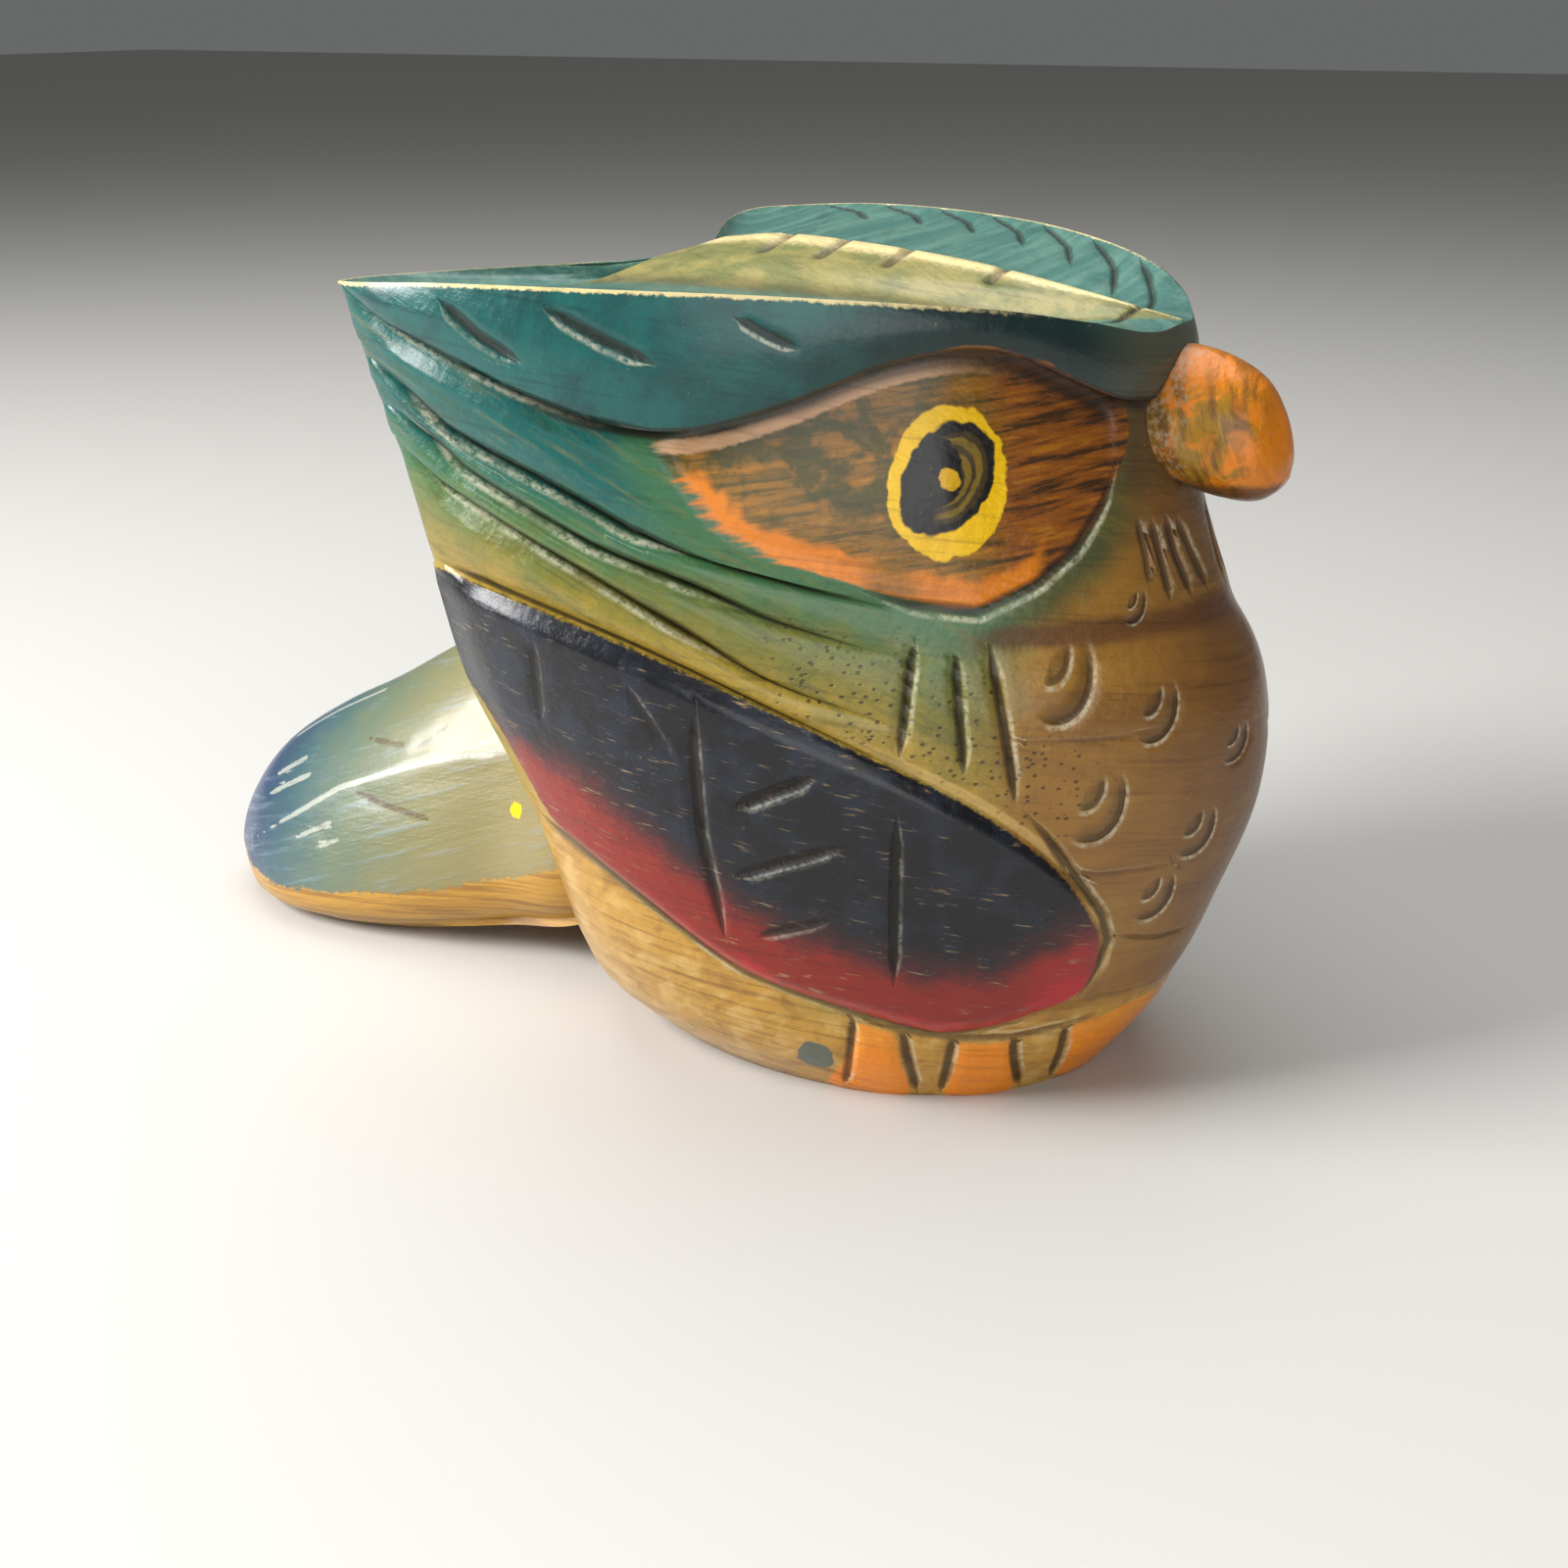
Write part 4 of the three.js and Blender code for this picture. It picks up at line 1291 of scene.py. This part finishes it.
def scale_marks(g, marks):
    """The dark side of the breast scales' two gouge marks, with painted shade in their hollows, their
    pale side, partly wear and partly painted highlight, and their depth.
    """
    across = g.wobble(g.read("scale_across"), marks.fine, 0.06)
    up = g.wobble(g.read("scale_up"), marks.fine, 0.06)
    near = g.step(g.read("scale_far"), 1.5, 1.35)

    def gouge(shift, rise, size, opening):
        x = g.times(g.add(across, -shift), 1 / size)
        y = g.times(g.add(up, -rise), 1 / size)
        radius = g.math("SQRT", g.add(g.times(x, x), g.times(y, y)))
        facing = g.math("DIVIDE", g.times(g.math("SUBTRACT", x, y), 0.7071), radius)
        present = g.times(g.step(facing, opening, 0.75), near)
        offset = g.times(g.add(radius, -1), size)
        dark = g.times(g.step(offset, -0.26, -0.04), g.step(offset, 0.09, 0.03))
        # Painted shade inside the hollow of each gouge
        soft = g.times(g.step(offset, -0.6, -0.1), g.step(offset, 0.05, -0.02))
        # Pale outer edge: worn paint and a painted highlight
        worn = g.times(g.step(offset, 0.06, 0.11), g.step(offset, 0.24, 0.16))
        dark = g.most(g.times(dark, 0.9), g.times(soft, 0.55))
        return g.times(dark, present), g.times(worn, present)

    outer, outer_worn = gouge(0, 0, 1, 0.05)
    inner, inner_worn = gouge(-0.22, 0.36, 0.5, 0.25)
    return g.most(outer, inner), g.most(outer_worn, inner_worn)


def body_marks(g):
    """The noises that the coats share, each laid along its own brush or grain."""
    spot = g.spot()
    left, _, height = g.split(spot)
    place = g.read("place")
    return SimpleNamespace(
        place=place,
        height=height,
        mottle=g.noise(spot, 0.22, 4, 0.6),
        fine=g.noise(spot, 1.6, 4, 0.65),
        locks=g.streaks(place, height, left, -29, 9, 0.9),
        rings=g.streaks(place, height, left, 0, 40, 4.5),
        grain=g.streaks(place, height, left, -8, 14, 0.55),
        strokes=g.streaks(place, height, left, 6, 7, 0.65),
        scratches=g.streaks(place, height, left, -12, 3.2, 0.35),
        swirl=g.noise(spot, 0.34, 1, 0.5, 1),
        blobs=g.noise(g.joined(height, place, left), 0.4, 1, 0.5, 0.5),
        pores=g.cells(g.joined(g.times(place, 0.75), g.times(height, 1.25), g.times(left, 0.5)), 1.1),
    )


def pore_marks(g, marks):
    """The open pores of the bare flank between the wing and the locks."""
    open_wood = g.times(
        g.ragged(g.read("rise"), marks.mottle, 0.5, 0.36, 0.2),
        g.step(g.read("wing"), -0.4, -1),
        g.step(marks.place, -20, -10),
        g.step(marks.place, 22, 14),
        g.step(marks.height, 31, 35),
    )
    return g.times(g.step(marks.pores, 0.26, 0.14), open_wood)


def worn_spots(g, marks, colour):
    """Pale wood along the wing's lower bevel and where the paint has chipped."""
    bevel = g.times(
        g.ragged(g.read("wing"), marks.fine, 0.5, -1.5, -1.1),
        g.ragged(g.read("wing"), marks.fine, 0.5, -0.2, -0.5),
        g.ragged(marks.place, marks.mottle, 10, -12, 2),
        g.step(marks.height, 14, 18),
    )
    colour = g.over(colour, PALE_WOOD, bevel, 0.6)
    chips = g.times(g.step(marks.fine, 0.68, 0.74), g.step(marks.mottle, 0.42, 0.56))
    return g.over(colour, PALE_WOOD, chips, 0.3)


def cut_marks(g, marks):
    """The dark line of every cut, partly grime and partly painted shade, its pale edge, partly wear and
    partly painted highlight, and the V that the bump adds.
    """
    offset = g.wobble(g.read("signed"), marks.fine, 0.24)
    inside = g.step(g.read("plain"), 1.25, 0.9)
    strength = g.step(g.read("deep"), 0.05, 0.7)
    # Painted shade, with grime: the dark line down each cut, darker the deeper the cut
    line = g.times(g.step(offset, -1.1, -0.3), g.step(offset, 0.7, 0.4), inside, strength)
    # Painted highlight, with worn paint: the pale strip beside each cut
    worn = g.times(
        g.step(offset, 0.6, 0.9), g.step(offset, 1.6, 1.1), g.step(g.read("plain"), 2.2, 1.8),
    )
    rubbed = g.times(g.step(marks.fine, 0.3, 0.56), g.add(0.4, g.step(marks.mottle, 0.42, 0.58)))
    off_wing = g.invert(g.times(g.step(g.read("wing"), 0, 1), 0.65))
    worn = g.times(worn, strength, rubbed, g.invert(g.read("top")), off_wing)
    floor = g.times(g.math("MINIMUM", g.math("ABSOLUTE", g.read("signed")), 1), inside)
    groove = g.times(g.math("SUBTRACT", floor, inside), g.read("deep"), CUT_BUMP)
    return line, worn, groove


def dirt_and_shade_share(g, marks, line):
    """How much painted shade, with grime in the cuts, darkens the hollows, the cuts, the notches and the
    step under the brow.
    """
    nape = g.times(g.read("back"), g.step(marks.height, 58, 62))
    # Painted shade in the broad hollows of the carving
    shade = g.times(g.step(g.read("sunk"), 0.12, 0.55), g.invert(nape))
    # Painted shadow: a dark line under the brow's overhang
    brow_shadow = g.times(g.step(g.read("brow"), -1.3, -0.9), g.step(g.read("brow"), 0.5, 0.2))
    on_side = g.times(g.invert(g.read("top")), g.invert(g.read("back")))
    brow_shadow = g.times(brow_shadow, g.step(marks.place, -42, -30), on_side)
    return g.most(shade, g.times(line, 0.95), g.read("notch"), g.times(brow_shadow, 0.95))


def body_paint():
    """Translucent paint over wood, worn on its edges, dirty in its cuts, varnished, with painted shade
    in its hollows and cuts and painted highlights along its worn edges.
    """
    g = Graph("body_paint")
    marks = body_marks(g)
    colour = side_coat(g, marks)
    for coat in (brow_coat, wing_coat, eye_coat, foot_coat, back_coat, top_coat):
        colour = coat(g, marks, colour)
    grit = g.times(g.step(marks.grain, 0.52, 0.7), 0.28)
    colour = g.mix(grit, colour, UMBER_AND_SHADE, "MULTIPLY")
    pores = pore_marks(g, marks)
    colour = g.over(colour, DIRT_AND_SHADE, pores, 0.7)
    colour = worn_spots(g, marks, colour)
    line, worn, groove = cut_marks(g, marks)
    # Breast scales: painted shade in the gouges and a pale edge that is partly a painted highlight
    gouge_shade, gouge_wear_and_highlight = scale_marks(g, marks)
    worn = g.most(worn, g.times(gouge_wear_and_highlight, g.add(0.2, g.step(marks.fine, 0.36, 0.6))))
    # Pale worn edges of cuts and gouges, which also serve as painted highlights
    colour = g.over(colour, PALE_WEAR_AND_HIGHLIGHT, worn, 0.4)
    # Painted shade in the hollows, cuts, notches and under the brow, with grime in the cuts
    dirt_and_shade = dirt_and_shade_share(g, marks, g.most(line, gouge_shade))
    colour = g.over(colour, DIRT_AND_SHADE, dirt_and_shade, 0.8)
    relief = g.add(
        g.times(marks.fine, 0.035),
        g.times(marks.locks, 0.12),
        g.times(marks.grain, 0.06),
        g.times(marks.mottle, 0.4),
        g.times(pores, -0.12),
        groove,
        g.times(gouge_shade, -0.3),
    )
    roughness = g.add(0.27, g.times(marks.mottle, 0.2), g.times(dirt_and_shade, 0.25))
    g.varnished(colour, roughness, relief)
    return g.material


def tail_paint():
    """Blue tip through slate to olive, with bare tan walls below the edge."""
    g = Graph("tail_paint")
    spot = g.spot()
    left, behind, height = g.split(spot)
    mottle = g.noise(spot, 0.2, 4, 0.6)
    fine = g.noise(spot, 1.6, 4, 0.65)
    brush = g.streaks(behind, height, left, -20, 10, 0.9)
    grain = g.streaks(behind, height, left, -4, 16, 0.5)
    reach = g.wobble(behind, mottle, 9)
    reach = g.wobble(reach, brush, 5)
    colour = g.ramp(
        g.times(g.add(reach, -40), 1 / 55),
        (0, TAIL_TAN), (0.34, TAIL_OLIVE), (0.58, TAIL_GREEN),
        (0.72, SLATE), (0.88, BLUE), (1, BLUE),
    )
    colour = g.over(colour, GREY_BLUE, g.step(brush, 0.52, 0.7), 0.3)
    # Pale lines on the tail's cuts, seam and shaft: scratched wood and a painted highlight along the
    # shaft's ridge
    light = g.math("ABSOLUTE", g.wobble(g.read("signed"), fine, 0.5))
    light = g.times(g.step(light, 0.75, 0.4), g.step(g.read("plain"), 1.25, 0.9))
    colour = g.over(colour, TAIL_SCRATCH_AND_HIGHLIGHT, light, 0.6)
    # Painted shade: dark umber in the incised barbs
    barb = g.math("ABSOLUTE", g.wobble(g.read("barb"), fine, 0.6))
    barb = g.times(g.step(barb, 0.9, 0.3), g.step(g.read("barb_plain"), 1.25, 0.9))
    colour = g.over(colour, UMBER_AND_SHADE, barb, 0.6)
    from_drop = g.math("SQRT", g.add(
        g.math("POWER", g.add(behind, -PAINT_DROP[0]), 2),
        g.math("POWER", g.add(height, -PAINT_DROP[1]), 2),
    ))
    drop = g.times(g.ragged(from_drop, fine, 1, PAINT_DROP[2], 0.8 * PAINT_DROP[2]), g.step(left, 0, -1))
    colour = g.over(colour, YELLOW, drop)
    wall = g.over(TAN, BROWN, g.step(grain, 0.42, 0.64))
    over = g.wobble(g.read("over"), fine, 2.2)
    over = g.wobble(over, mottle, 2)
    colour = g.over(colour, wall, g.step(over, 0.3, -0.2))
    # Painted shade in the tail's creases and where it meets the body
    dirt_and_shade = g.most(g.step(g.read("hollow"), 0.03, 0.12), g.step(g.read("sunk"), 0.12, 0.6))
    colour = g.over(colour, DIRT_AND_SHADE, dirt_and_shade, 0.6)
    relief = g.add(g.times(fine, 0.07), g.times(brush, 0.12), g.times(grain, 0.06))
    g.varnished(colour, g.add(0.26, g.times(mottle, 0.2)), relief)
    return g.material


def beak_paint():
    """Orange beak, smudged olive and brown, dark beneath as painted shade and bare at its root, with
    painted shade in its hollows.
    """
    g = Graph("beak_paint")
    spot = g.spot()
    left, behind, height = g.split(spot)
    mottle = g.noise(spot, 0.3, 2, 0.5, 0.8)
    fine = g.noise(spot, 1.5, 4, 0.65)
    strokes = g.streaks(height, behind, left, 20, 5, 0.9)
    middle = g.times(g.ragged(behind, mottle, 5, -40, -36), g.ragged(height, mottle, 5, 77, 74))
    colour = g.over(ORANGE, BEAK_BROWN, g.step(strokes, 0.42, 0.6))
    smudge = g.over(BEAK_OLIVE, BEAK_UMBER, g.step(strokes, 0.4, 0.62))
    colour = g.over(colour, smudge, g.step(mottle, 0.36, 0.56), middle, 0.9)
    tip = g.ragged(behind, mottle, 3, -36, -39)
    colour = g.over(colour, ORANGE, tip, 0.7)
    root = g.ragged(behind, mottle, 5, -32.5, -30)
    colour = g.over(colour, BEAK_BARE, g.step(fine, 0.46, 0.6), root, 0.45)
    # Painted shade: dark umber on the beak's underside
    under = g.ragged(height, fine, 0.8, 66.6, 65.6)
    colour = g.over(colour, UMBER_AND_SHADE, under, 0.85)
    # Painted shade where the beak meets the head
    dirt_and_shade = g.step(g.read("sunk"), 0.12, 0.6)
    colour = g.over(colour, DIRT_AND_SHADE, dirt_and_shade, 0.7)
    relief = g.add(g.times(mottle, 0.4), g.times(fine, 0.2))
    g.varnished(colour, g.add(0.24, g.times(fine, 0.2)), relief)
    return g.material


# Stage, light and camera

CAMERA_PLACE = (-0.2061, -0.0961, 0.1115)
CAMERA_TURN = (69.7, 0, -61.5)
CAMERA_LENS = 49.5
FLOOR_SIZE = 6
LIGHT_AIM = (0, 0.02, 0.045)
SKY_STRENGTH = 0.17
LIGHTS = [
    # name, place in metres, size, watts
    ["sky", (0.1, 0.1, 0.6), 0.6, 3],
    ["key", (-0.42, 0.46, 0.42), 0.36, 10],
    ["fill", (-0.6, -0.5, 0.3), 0.6, 3],
]


def plain_floor():
    mesh = bpy.data.meshes.new("floor")
    half = FLOOR_SIZE / 2
    corners = [(-half, -half, 0), (half, -half, 0), (half, half, 0), (-half, half, 0)]
    mesh.from_pydata(corners, [], [(0, 1, 2, 3)])
    g = Graph("floor_grey")
    g.surface({"Base Color": FLOOR_GREY, "Roughness": 0.6})
    mesh.materials.append(g.material)
    linked("floor", mesh)


def soft_light(name, place, size, watts):
    light = bpy.data.lights.new(name, "AREA")
    light.shape = "SQUARE"
    light.size = size
    light.energy = watts
    made = linked(name, light)
    made.location = place
    aim = Vector(LIGHT_AIM) - Vector(place)
    made.rotation_euler = aim.to_track_quat("-Z", "Y").to_euler()


def pale_world():
    world = bpy.data.worlds.new("studio")
    world.use_nodes = True
    background = world.node_tree.nodes["Background"]
    background.inputs["Color"].default_value = SKY_WHITE
    background.inputs["Strength"].default_value = SKY_STRENGTH
    bpy.context.scene.world = world


def camera():
    data = bpy.data.cameras.new("camera")
    data.sensor_width = 36
    data.lens = CAMERA_LENS
    data.clip_start = 0.01
    made = linked("camera", data)
    made.location = CAMERA_PLACE
    made.rotation_euler = [math.radians(angle) for angle in CAMERA_TURN]
    bpy.context.scene.camera = made


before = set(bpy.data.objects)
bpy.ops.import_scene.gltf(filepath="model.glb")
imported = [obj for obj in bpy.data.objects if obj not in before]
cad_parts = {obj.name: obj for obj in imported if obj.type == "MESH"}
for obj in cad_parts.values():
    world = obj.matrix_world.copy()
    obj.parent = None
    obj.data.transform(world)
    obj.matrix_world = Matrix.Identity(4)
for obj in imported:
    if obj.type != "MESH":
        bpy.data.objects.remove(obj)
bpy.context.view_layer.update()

owl = carved_owl()
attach(owl, "root")
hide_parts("owl")

bpy.context.scene.view_settings.view_transform = "Standard"
plain_floor()
pale_world()
for light in LIGHTS:
    soft_light(*light)
camera()
